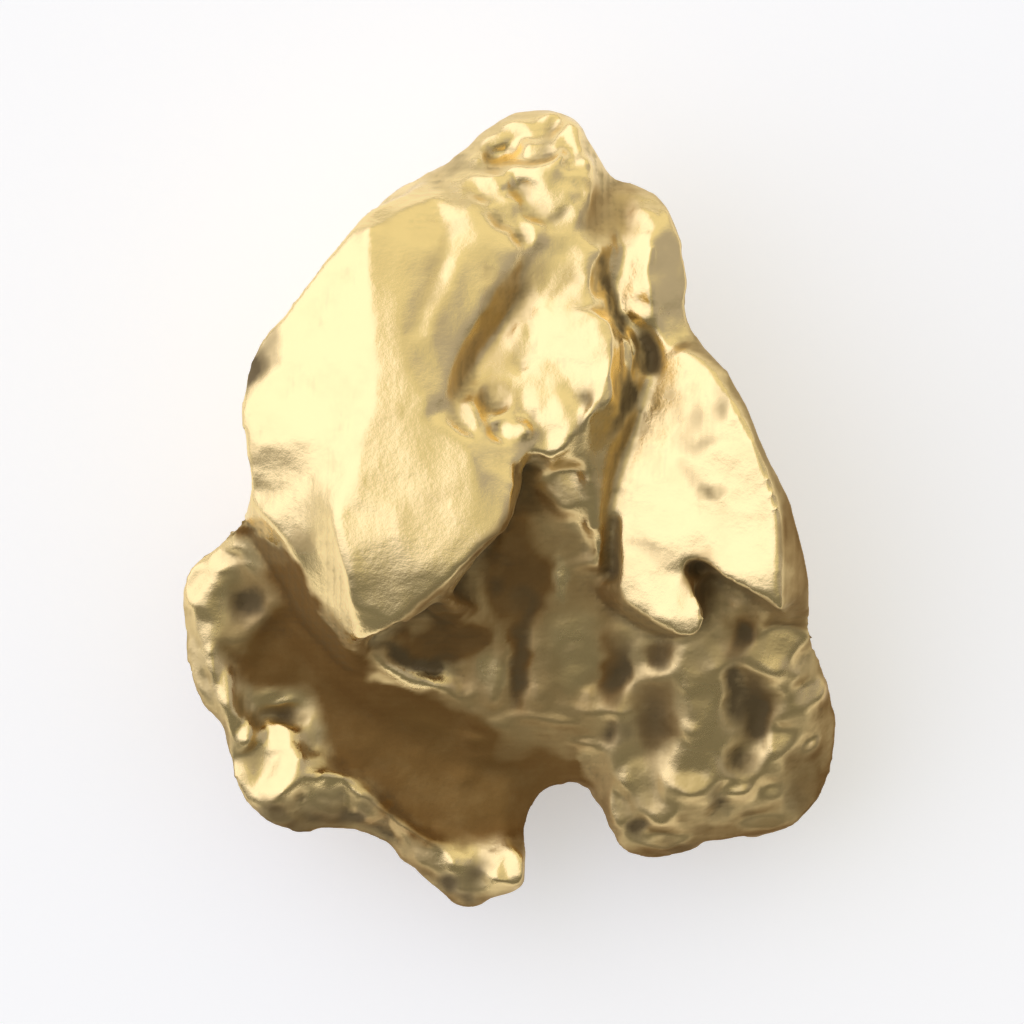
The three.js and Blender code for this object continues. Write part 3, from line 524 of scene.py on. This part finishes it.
# planes: (x, y, half width, half height, slope along x, slope along y) of the broad flats
planes = [
    (1.6, 0.7, 0.6, 0.7, 0.08, 0.1), (1.15, 7.0, 0.9, 0.5, -0.05, 0.05),
    (3.6, 7.2, 0.4, 1.2, 0.45, 0.0), (4.75, 7.3, 0.45, 1.7, -0.45, 0.0),
    (1.4, 5.0, 1.0, 1.1, 0.35, -0.03), (2.4, 4.9, 0.6, 1.2, 0.35, -0.03),
    (0.9, 3.4, 0.8, 0.8, 0.35, -0.05), (4.6, -2.4, 0.9, 0.8, 0.3, -0.05),
    (2.1, -3.3, 0.7, 1.1, -0.05, 0.33), (0.2, -1.4, 0.7, 1.2, -0.05, 0.6),
    (-1.3, -3.4, 0.6, 0.5, -0.1, 0.6), (7.95, -4.1, 0.7, 0.75, -0.05, 0.05),
    (9.0, -5.4, 0.5, 0.5, -0.1, 0.0), (8.9, -8.0, 0.6, 0.8, -0.2, 0.5),
    (5.5, -8.1, 0.8, 0.5, 0.05, 0.0), (4.0, -8.2, 0.6, 0.6, -0.05, 0.35),
    (-2.4, -10.4, 0.5, 0.5, 0.05, 0.15), (-5.8, -8.8, 0.6, 0.3, 0.0, 0.5),
    (-9.3, -2.2, 0.4, 0.6, 0.4, -0.05), (-8.5, -3.6, 0.6, 0.3, 0.0, 0.1),
    (1.3, 9.0, 0.9, 0.7, 0.12, 0.0),
]

# chips: the same for small facets, cut last
chips = [
    # crown
    (0.2, 11.35, 0.45, 0.35, 0.3, -0.05), (1.15, 11.6, 0.35, 0.35, -0.1, 0.1),
    (1.85, 11.1, 0.35, 0.6, 0.38, -0.05), (2.0, 10.35, 0.45, 0.28, 0.32, -0.1),
    (0.8, 10.75, 0.55, 0.3, 0.0, 0.05), (-0.65, 9.7, 0.5, 0.35, 0.36, -0.1),
    (0.3, 10.15, 0.5, 0.2, 0.3, -0.1), (1.9, 9.85, 0.55, 0.25, -0.05, 0.1),
    (2.2, 9.35, 0.25, 0.35, 0.34, 0.0), (0.55, 8.3, 0.45, 0.4, 0.38, -0.05),
    (-0.1, 8.9, 0.45, 0.45, 0.0, 0.0), (-0.5, 11.0, 0.35, 0.3, 0.05, 0.05),
    # knob
    (4.0, 8.7, 0.35, 0.35, 0.22, -0.1), (3.35, 8.25, 0.25, 0.2, 0.3, 0.0),
    (3.9, 6.0, 0.35, 0.4, 0.25, -0.05),
    # heart
    (0.3, 4.9, 0.3, 0.7, 0.05, 0.0), (-0.4, 3.5, 0.4, 0.45, 0.0, 0.05),
    (0.0, 2.45, 0.6, 0.3, 0.34, -0.05), (-1.25, 2.85, 0.4, 0.5, 0.3, 0.0),
    (1.3, 2.2, 0.35, 0.45, 0.36, -0.05), (2.7, 3.6, 0.35, 0.45, 0.14, 0.0),
    (3.55, 4.8, 0.2, 0.55, 0.3, 0.0),
    # throat
    (-0.5, -4.9, 0.35, 0.9, 0.12, 0.28), (0.9, -5.0, 0.3, 0.8, 0.14, 0.28),
    (1.7, -5.0, 0.35, 0.7, -0.05, 0.3), (1.5, -1.8, 0.22, 0.5, 0.18, 0.2),
    (-1.0, -6.8, 0.4, 0.25, 0.05, 0.05), (1.3, -6.2, 0.9, 0.22, 0.0, 0.05),
    # ball, rim and foot
    (-8.6, -1.4, 0.5, 0.3, 0.35, -0.15), (-8.05, -6.55, 0.28, 0.4, 0.4, -0.1),
    (-7.0, -6.75, 0.4, 0.36, 0.4, 0.0), (-6.55, -7.5, 0.32, 0.42, 0.4, -0.05),
    (-7.2, -8.35, 0.35, 0.3, 0.4, -0.1), (-7.6, -7.4, 0.28, 0.35, 0.0, 0.1),
    (-5.9, -6.7, 0.3, 0.5, -0.15, 0.15), (-8.55, -5.3, 0.22, 0.7, 0.22, 0.0),
    (-9.2, -5.2, 0.25, 0.4, 0.05, 0.15), (-8.2, -7.8, 0.25, 0.5, 0.18, 0.0),
    (-6.9, -5.7, 0.4, 0.18, 0.18, 0.0), (-6.9, -9.2, 0.4, 0.28, 0.0, 0.5),
    (0.1, -10.7, 0.38, 0.5, 0.4, -0.05), (-0.6, -10.5, 0.35, 0.22, 0.4, -0.1),
    (-1.2, -11.2, 0.45, 0.35, 0.0, 0.3),
    # root
    (8.1, -6.8, 0.42, 0.5, 0.0, 0.08), (5.5, -8.1, 0.6, 0.4, 0.0, -0.05),
    (5.45, -6.4, 0.28, 0.36, 0.05, 0.08), (5.4, -5.2, 0.2, 0.2, 0.05, 0.0),
    (4.7, -9.9, 0.7, 0.28, 0.05, 0.0), (5.7, -5.8, 0.4, 0.35, -0.05, 0.3),
    (6.2, -4.2, 0.35, 0.6, -0.05, 0.2), (3.3, -3.5, 0.2, 0.25, 0.05, 0.1),
    (9.05, -6.95, 0.25, 0.2, 0.4, -0.1), (7.6, -9.3, 0.7, 0.3, 0.0, 0.22),
    (7.9, -8.4, 0.4, 0.35, 0.0, 0.15), (3.3, -9.0, 0.3, 0.6, 0.1, 0.2),
    (6.9, -8.3, 0.4, 0.2, 0.1, 0.0), (2.2, -6.9, 0.4, 0.2, 0.15, 0.0),
]


# how a mark's height and width vary
mark = dict(
    unevenHeight=0.35,
    unevenWidth=0.3,
    ends=0.1,            # a stroke's swelling is a sine, begun this share before its end
    blunt=0.7,           # and raised to this power
    thin=0.6,            # width at no swelling
    thick=0.75,          # and what the full swelling adds
    spotSize=1.25,
    spotStretch=1.15,
    spotVary=0.25,
)


def bump(distance, radius):
    # rounded bump: (1 - t^2)^2, t = distance over radius
    t = np.clip(distance / radius, 0, 1)
    return (1 - t * t) ** 2


def strokeLift(p, sway, height, halfWidth, path):
    # a bump carried along a line, narrower and lower toward both ends, with an uneven width
    distance, share = alongLine(p, path)
    swelling = np.sin(np.pi * (mark["ends"] + (1 - 2 * mark["ends"]) * share)) ** mark["blunt"]
    width = halfWidth * (mark["thin"] + mark["thick"] * swelling) * (1 + mark["unevenWidth"] * sway)
    return height * swelling * (1 + mark["unevenHeight"] * sway) * bump(distance, width)


def spotLift(p, sway, x, y, radius, height):
    # a bump on an ellipse, whose turn and stretch follow from its place
    turn = 1.7 * x + 2.9 * y
    stretch = mark["spotStretch"] + mark["spotVary"] * math.sin(5 * x - 3 * y)
    dx, dy = p[:, 0] - x, p[:, 1] - y
    u = (dx * math.cos(turn) + dy * math.sin(turn)) / stretch
    w = (dy * math.cos(turn) - dx * math.sin(turn)) * stretch
    width = radius * mark["spotSize"] * (1 + mark["unevenWidth"] * sway)
    return height * bump(np.hypot(u, w), width)


def flattened(v, n, p, faces):
    # each face pulls the skin inside its ellipse onto its own plane, through the mean height
    # there; where faces overlap, their pulls are averaged
    pull, weight = np.zeros(len(v)), np.zeros(len(v))
    for x, y, halfWide, halfHigh, riseX, riseY in faces:
        dx, dy = p[:, 0] - x, p[:, 1] - y
        share = 1 - step(np.hypot(dx / halfWide, dy / halfHigh), *skin["faceBorder"])
        share *= step(n[:, 2], *skin["marked"])
        level = (share * v[:, 2]).sum() / share.sum()
        share = share * (1 - step(np.abs(v[:, 2] - level), *skin["faceGap"]))
        pull += share * (level + riseX * dx + riseY * dy - v[:, 2])
        weight += share
    return skin["faceDepth"] * pull / np.maximum(weight, 1)


def plainHeights(v, n):
    # the upper side as a grid of heights in plan, and each vertex's place in it
    low = v[:, plan].min(0) - skin["reach"]
    at = ((v[:, plan] - low) / skin["cell"]).astype(np.int64)
    heights = np.zeros(at.max(0) + int(skin["reach"] / skin["cell"]) + 1)
    up = n[:, 2] > 0
    np.maximum.at(heights, (at[up, 0], at[up, 1]), v[up, 2])
    return heights, at


def heightsAt(heights, at, shift):
    # the grid's height at each place moved by a whole number of cells
    x, y = (np.clip(at[:, k] + shift[k], 0, heights.shape[k] - 1) for k in range(2))
    return heights[x, y]


def shelterOf(v, n):
    # how closed in each vertex is: the mean, over all directions, of the sine of the angle
    # up to the highest ground within reach
    heights, at = plainHeights(v, n)
    total = np.zeros(len(v))
    for i in range(skin["turns"]):
        angle = 2 * math.pi * i / skin["turns"]
        toward = np.array([math.cos(angle), math.sin(angle)])
        steepest = np.zeros(len(v))
        for distance in skin["looks"]:
            shift = np.rint(toward * distance / skin["cell"]).astype(np.int64)
            steepest = np.maximum(steepest, (heightsAt(heights, at, shift) - v[:, 2]) / distance)
        total += steepest / np.sqrt(1 + steepest ** 2)
    return total / skin["turns"]


def depthBelow(v, n):
    # how far each vertex lies under the highest ground within a few cells of it in plan
    heights, at = plainHeights(v, n)
    highest = np.zeros(len(v))
    around = range(-skin["overhang"], skin["overhang"] + 1)
    for shift in itertools.product(around, repeat=2):
        highest = np.maximum(highest, heightsAt(heights, at, shift))
    return highest - v[:, 2]


def wandering(v, salt, reach):
    # each vertex's place in plan, strayed by noise, so that outlines drawn there come out uneven
    stray = [fractal(v, skin["wanderSize"], salt + 5 * k) for k in range(2)]
    return v[:, plan] + np.stack(stray, axis=1) * reach


def read(items, name, kind, width):
    # one property of a mesh's vertices, edges or faces as an array, width numbers to a row
    values = np.empty(len(items) * width, dtype=kind)
    items.foreach_get(name, values)
    return values.reshape(-1, width)


print("nugget: remesh")
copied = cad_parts["nugget"].data.copy()
copied.transform(Matrix.Scale(1 / mm, 4))
rough = bpy.data.objects.new("rough", copied)
bpy.context.collection.objects.link(rough)
weld = rough.modifiers.new("weld", "WELD")
weld.merge_threshold = skin["weld"]
grown = rough.modifiers.new("grown", "DISPLACE")
grown.mid_level = 0
grown.strength = skin["hair"]
remesh = rough.modifiers.new("remesh", "REMESH")
remesh.mode = "VOXEL"
remesh.voxel_size = skin["voxel"]
evaluated = rough.evaluated_get(bpy.context.evaluated_depsgraph_get())
skinMesh = bpy.data.meshes.new_from_object(evaluated)
bpy.data.objects.remove(rough)

v = read(skinMesh.vertices, "co", float, 3)
edges = read(skinMesh.edges, "vertices", np.int64, 2)
quads = read(skinMesh.polygons, "vertices", np.int64, 4)
count = len(v)
print("nugget:", count, "vertices", len(quads), "quads")

print("nugget: shape")
v = smoothed(v, edges, skin["firstSmooth"])
v -= skin["drawn"] * smoothed(normalsOf(v, quads), edges, skin["drawnSmooth"], keepSize=False)
blended = smoothed(normalsOf(v, quads), edges, skin["sharpSmooth"], keepSize=False)
bent = spread(1 - np.linalg.norm(blended, axis=1), edges, skin["sharpSmooth"])
v = eased(v, edges, skin["wear"], step(bent, *skin["sharp"]))
n = normalsOf(v, quads)
top = spread(step(n[:, 2], *skin["upper"]), edges, skin["upperSmooth"])  # 0 on the flanks and below

warped = wandering(v, randomSet["marks"], skin["wander"])
inside = {name: within(warped, mass["loop"], skin["border"]) for name, mass in masses.items()}
weight = sum(inside.values(), np.full(count, skin["bareShare"]))
worked = {}
for key, own in bare.items():
    total = np.full(count, own * skin["bareShare"])
    for name, mass in masses.items():
        total += inside[name] * mass.get(key, usual[key])
    worked[key] = total / weight
worked["dents"] = worked["dents"] * top + skin["underDents"] * (1 - top)
v = eased(v, edges, skin["easeSmooth"], worked["ease"] * top)

sway = swell(v, skin["swaySize"], randomSet["sway"])
v[:, 2] += flattened(v, n, warped, planes)
v = smoothed(v, edges, skin["settle"])

under = (1 - step(n[:, 2], *skin["lower"])) * step(depthBelow(v, n), *skin["lowerDepth"])
under = spread(under, edges, skin["lowerSmooth"])
v = eased(v, edges, skin["underSmooth"], under, keepSize=False)
n = normalsOf(v, quads)
lumps = fractal(v, skin["underSwellSize"], randomSet["lumps"]) + skin["underSwellLevel"]
v += n * (under * skin["underSwell"] * lumps)[:, None]

shade = np.zeros(count)  # each crystal face is a little lighter or darker than the next
for size, tilt, depth, underDepth, salt in skin["faces"]:
    n = normalsOf(v, quads)
    move, own = flats(v, n, size, tilt * worked["tilt"], salt)
    shown = worked["fine"] if size < skin["smallFace"] else 1
    share = worked["flats"] * depth * shown * top + underDepth * (1 - top)
    move = eased(move, edges, skin["faceSmooth"], worked["calm"] * top, keepSize=False)
    v = v + move * share[:, None]
    shade += (own - 0.5) * share

n = normalsOf(v, quads)
lift = sum(strokeLift(warped, sway, *stroke) for stroke in strokes)
lift = sum((spotLift(warped, sway, *spot) for spot in spots), lift)
v[:, 2] += skin["markDepth"] * lift * step(n[:, 2], *skin["marked"])
v[:, 2] += flattened(v, n, (v[:, plan] + warped) / 2, chips)
v = smoothed(v, edges, skin["settle"])
v = eased(v, edges, skin["calmSmooth"], worked["calm"] * top)
n = normalsOf(v, quads)

warp = skin["warp"] * threeOf(lambda k: swell(v, skin["warpSize"], randomSet["warp"] + k))
hammer = sum(share * dents(v + warp, size, salt) for share, size, salt in skin["hammer"])
hammer = skin["hammerScale"] * hammer + skin["hammerLevel"]
grain = fractal(v, skin["grainSize"], randomSet["grain"])
v = v + n * (worked["dents"] * hammer + worked["grain"] * grain)[:, None]
v = smoothed(v, edges, skin["lastSmooth"])
v[:, 2] = np.maximum(v[:, 2], 0)
n = normalsOf(v, quads)

print("nugget: colour masks")
broad = smoothed(v, edges, skin["broadSmooth"], keepSize=False)
hollow = ((broad - v) * n).sum(1)
shelter = shelterOf(v, n) * top + skin["underShelter"] * (1 - top)
steep = 1 - step(n[:, 2], *skin["steep"])
dirtAndShade = np.clip(-lift / skin["cutDarkDepth"], -1, 1)  # cut marks darker, partly grime and partly painted shade; raised ones are rubbed bright
olive = worked["olive"] + (worked["edge"] - worked["olive"]) * steep
masks = dict(
    olive=olive + skin["cutOlive"] * dirtAndShade + skin["faceOlive"] * shade,
    ironAndShade=worked["ironAndShade"] + skin["edgeIron"] * worked["edge"] * steep,
    grimeAndShade=skin["cutDarkening"] * np.maximum(dirtAndShade, 0),
)
warped = wandering(v, randomSet["stainsAndPaintedLight"], skin["patchWander"])
exposed = step(n[:, 2], *skin["patchesShown"])
# each patch darkens or lightens a colour mask: partly stain, partly painted shade and painted highlight
for mask, patches in stainsAndPaintedLight.items():
    for x, y, halfWide, halfHigh, strength in patches:
        radii = np.hypot((warped[:, 0] - x) / halfWide, (warped[:, 1] - y) / halfHigh)
        masks[mask] += strength * (1 - step(radii, *skin["patchBorder"])) * exposed


def writeMask(name, values):
    # one number per vertex, for the material to read
    layer = skinMesh.attributes.new(name, "FLOAT", "POINT")
    layer.data.foreach_set("value", values.astype(np.float32))


skinMesh.vertices.foreach_set("co", (v * mm).ravel())
skinMesh.polygons.foreach_set("use_smooth", np.ones(len(quads), dtype=bool))
for name, values in masks.items():
    writeMask(name, np.clip(values, -1, 1))
writeMask("hollow", np.clip(hollow / skin["hollowFull"], -1, 1))
writeMask("shelter", shelter)
skinMesh.update()
skinMesh.name = "nugget_skin"
nugget = bpy.data.objects.new("nugget_skin", skinMesh)
bpy.context.collection.objects.link(nugget)


class Value:
    # a socket that takes part in sums
    def __init__(self, tree, socket):
        self.tree, self.socket = tree, socket

    def op(self, kind, a, b):
        return self.tree.node("ShaderNodeMath", dict(operation=kind), [a, b])

    def __add__(self, other):
        return self.op("ADD", self, other)

    def __radd__(self, other):
        return self.op("ADD", other, self)

    def __sub__(self, other):
        return self.op("SUBTRACT", self, other)

    def __rsub__(self, other):
        return self.op("SUBTRACT", other, self)

    def __mul__(self, other):
        return self.op("MULTIPLY", self, other)

    def __rmul__(self, other):
        return self.op("MULTIPLY", other, self)

    def clamp(self):
        return self.tree.node("ShaderNodeClamp", None, dict(Value=self))


class Tree:
    # a material's or the room's nodes, emptied first
    def __init__(self, nodeTree):
        self.nodes, self.links = nodeTree.nodes, nodeTree.links
        self.nodes.clear()

    def node(self, kind, settings=None, sockets=None, out=0):
        # settings first, then each socket's value or link
        made = self.nodes.new(kind)
        for key, value in (settings or {}).items():
            setattr(made, key, value)
        pairs = sockets.items() if isinstance(sockets, dict) else enumerate(sockets or [])
        for key, value in pairs:
            if isinstance(value, Value):
                self.links.new(value.socket, made.inputs[key])
            else:
                made.inputs[key].default_value = value
        return Value(self, made.outputs[out]) if len(made.outputs) else None

    def mixColour(self, share, a, b):
        # a where share is 0, b where it is 1
        return self.node("ShaderNodeMix", dict(data_type="RGBA"), {0: share, 6: a, 7: b}, 2)

    def mask(self, name):
        # one of the numbers that the skin carries
        return self.node("ShaderNodeAttribute", dict(attribute_name=name), out=2)

    def noise(self, place, scale, detail, rough):
        # 0 to 1, about 0.5 on average
        return self.node("ShaderNodeTexNoise", None, dict(
            Vector=place, Scale=scale, Detail=detail, Roughness=rough))


# patches and mottle are noise that shifts the stains, and grain is the fine bump;
# each is (scale, detail, roughness), with scales to the metre
gold = dict(
    bright=(1.0, 0.765, 0.36, 1.0),
    olive=(0.56, 0.43, 0.20, 1.0),
    # brown: iron stain, partly painted shade in the throat and painted reflection in the bowl
    brown=(0.34, 0.195, 0.06, 1.0),
    # the darkest colour: grime, and painted shade in cuts, pits, hollows and under the lip
    grimeAndShade=(0.19, 0.135, 0.06, 1.0),
    patches=(900.0, 4.0, 0.6),
    mottle=(1500.0, 3.0, 0.55),
    grain=(5000.0, 5.0, 0.65),
    grainDepth=0.00004,
    grainStrength=0.35,
    # how far each thing shifts a stain; the open ones are the shelter at which it starts to; what shelter
    # and hollows add is partly patina and partly painted shade
    openOliveAndShade=0.3, sunkOliveAndShade=0.3, patchOlive=0.3, mottleOlive=0.5,
    openGrimeAndShade=0.42, sunkGrimeAndShade=0.5, patchBrown=0.3, mottleGrime=0.6,
    closedGrimeAndShade=1.5,
    darkeningOffset=0.1,        # taken off the hollows' grime and painted shade everywhere
    polished=0.20,
    patchMatte=0.12,
    matte=0.38,         # how much rougher the olive and brown metal is
    grimeAndShadeMatte=0.15,
    grimeAndShadeDull=0.6,      # how much less metallic the grime and painted shade are
    shine=0.25,
)

print("gold: material")
goldMaterial = bpy.data.materials.new("native_gold")
goldMaterial.use_nodes = True
t = Tree(goldMaterial.node_tree)
place = t.node("ShaderNodeTexCoord", out=3)
# brown share: iron stain, partly painted shade (throat, under the lip) and painted reflection (bowl)
ironAndShade = t.mask("ironAndShade")
sunk = t.mask("hollow")
closedIn = t.mask("shelter")
patch = t.noise(place, *gold["patches"]) - 0.5
mottle = t.noise(place, *gold["mottle"]) - 0.5
fine = t.noise(place, *gold["grain"])
# olive tone, more of it where the skin is sunk or closed in: partly patina, partly painted shade
oliveness = t.mask("olive") + sunk * gold["sunkOliveAndShade"] + patch * gold["patchOlive"]
oliveness = (oliveness + mottle * gold["mottleOlive"] + (closedIn - gold["openOliveAndShade"])).clamp()
# darkening where the skin is sunk or closed in: partly grime, partly painted shade
settledAndShaded = sunk * gold["sunkGrimeAndShade"] + (closedIn - gold["openGrimeAndShade"]) * gold["closedGrimeAndShade"]
settledAndShaded = (settledAndShaded + mottle * gold["mottleGrime"] - gold["darkeningOffset"]).clamp()
# darkest colour's share: grime, and painted shade in cuts, pits, hollows and under the lip
grimedAndShaded = (t.mask("grimeAndShade") + settledAndShaded).clamp()
colour = t.mixColour(oliveness, gold["bright"], gold["olive"])
colour = t.mixColour((ironAndShade + patch * gold["patchBrown"]).clamp(), colour, gold["brown"])
colour = t.mixColour(grimedAndShaded, colour, gold["grimeAndShade"])
roughness = gold["polished"] + patch * gold["patchMatte"] + (oliveness + ironAndShade) * gold["matte"]
roughness = roughness + grimedAndShaded * gold["grimeAndShadeMatte"]
grained = t.node("ShaderNodeBump", None, dict(
    Strength=gold["grainStrength"], Distance=gold["grainDepth"], Height=fine))
shader = t.node("ShaderNodeBsdfPrincipled", None, {
    "Base Color": colour, "Metallic": 1.0 - grimedAndShaded * gold["grimeAndShadeDull"], "Roughness": roughness,
    "Specular IOR Level": gold["shine"], "Normal": grained})
t.node("ShaderNodeOutputMaterial", None, dict(Surface=shader))
skinMesh.materials.clear()
skinMesh.materials.append(goldMaterial)

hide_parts("nugget")
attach(nugget, "root")


studio = dict(
    floorSize=2.0,
    floorColour=(0.80, 0.80, 0.79, 1.0),
    floorRoughness=0.9,
    floorGlow=0.4,
)

print("studio: floor, light, camera")
half = studio["floorSize"] / 2
floorMesh = bpy.data.meshes.new("floor")
corners = [(-half, -half, 0), (half, -half, 0), (half, half, 0), (-half, half, 0)]
floorMesh.from_pydata(corners, [], [(0, 1, 2, 3)])
floor = bpy.data.objects.new("floor", floorMesh)
bpy.context.collection.objects.link(floor)
floorMaterial = bpy.data.materials.new("pale_floor")
floorMaterial.use_nodes = True
t = Tree(floorMaterial.node_tree)
shader = t.node("ShaderNodeBsdfPrincipled", None, {
    "Base Color": studio["floorColour"], "Roughness": studio["floorRoughness"],
    "Emission Color": (1, 1, 1, 1), "Emission Strength": studio["floorGlow"]})
t.node("ShaderNodeOutputMaterial", None, dict(Surface=shader))
floorMesh.materials.append(floorMaterial)

# the room, by direction: an even grey overhead, a cooler wall on the right (+x), the far side (+y),
# a broad window on the left (-x), a dark near side (-y), and a pale band at the horizon;
# each wall begins and is full at these heights of the direction toward it
room = dict(
    overhead=(0.70, 0.685, 0.55, 1),
    right=dict(colour=(0.44, 0.44, 0.50, 1), begins=0.05, full=0.5),
    far=dict(colour=(0.86, 0.84, 0.70, 1), begins=0.1, full=0.7),
    window=dict(colour=(1.28, 1.30, 1.55, 1), begins=0.06, full=0.36),
    near=dict(colour=(0.19, 0.19, 0.175, 1), begins=0.08, full=0.6),
    horizon=dict(colour=(0.45, 0.44, 0.42, 1), begins=0.02, full=0.28),
)


def reaching(t, toward, wall):
    # smooth step from 0 where the wall begins to 1 where it is full
    return t.node("ShaderNodeMapRange", dict(interpolation_type="SMOOTHSTEP"), {
        "Value": toward, "From Min": wall["begins"], "From Max": wall["full"]})


world = bpy.data.worlds.new("studio")
bpy.context.scene.world = world
world.use_nodes = True
t = Tree(world.node_tree)
direction = t.node("ShaderNodeTexCoord", out=0)
split = t.node("ShaderNodeSeparateXYZ", None, [direction])
across, along, above = (Value(t, split.socket.node.outputs[k]) for k in range(3))
colour = room["overhead"]
for name, toward in (("right", across), ("far", along), ("window", 0 - across), ("near", 0 - along)):
    colour = t.mixColour(reaching(t, toward, room[name]), colour, room[name]["colour"])
colour = t.mixColour(1 - reaching(t, above, room["horizon"]), colour, room["horizon"]["colour"])
back = t.node("ShaderNodeBackground", None, dict(Color=colour, Strength=1.0))
t.node("ShaderNodeOutputWorld", None, dict(Surface=back))

# the camera looks straight down; across is the width of its view at the given level
lens = dict(focal=300.0, sensor=36.0, across=30.72, level=6.0, centre=(0.06, 0.015), nearest=0.01)
cameraData = bpy.data.cameras.new("camera")
cameraData.lens = lens["focal"]
cameraData.sensor_width = lens["sensor"]
cameraData.clip_start = lens["nearest"]
camera = bpy.data.objects.new("camera", cameraData)
bpy.context.collection.objects.link(camera)
away = lens["focal"] / lens["sensor"] * lens["across"] + lens["level"]
camera.location = (lens["centre"][0] * mm, lens["centre"][1] * mm, away * mm)
bpy.context.scene.camera = camera
bpy.context.scene.view_settings.view_transform = "Standard"
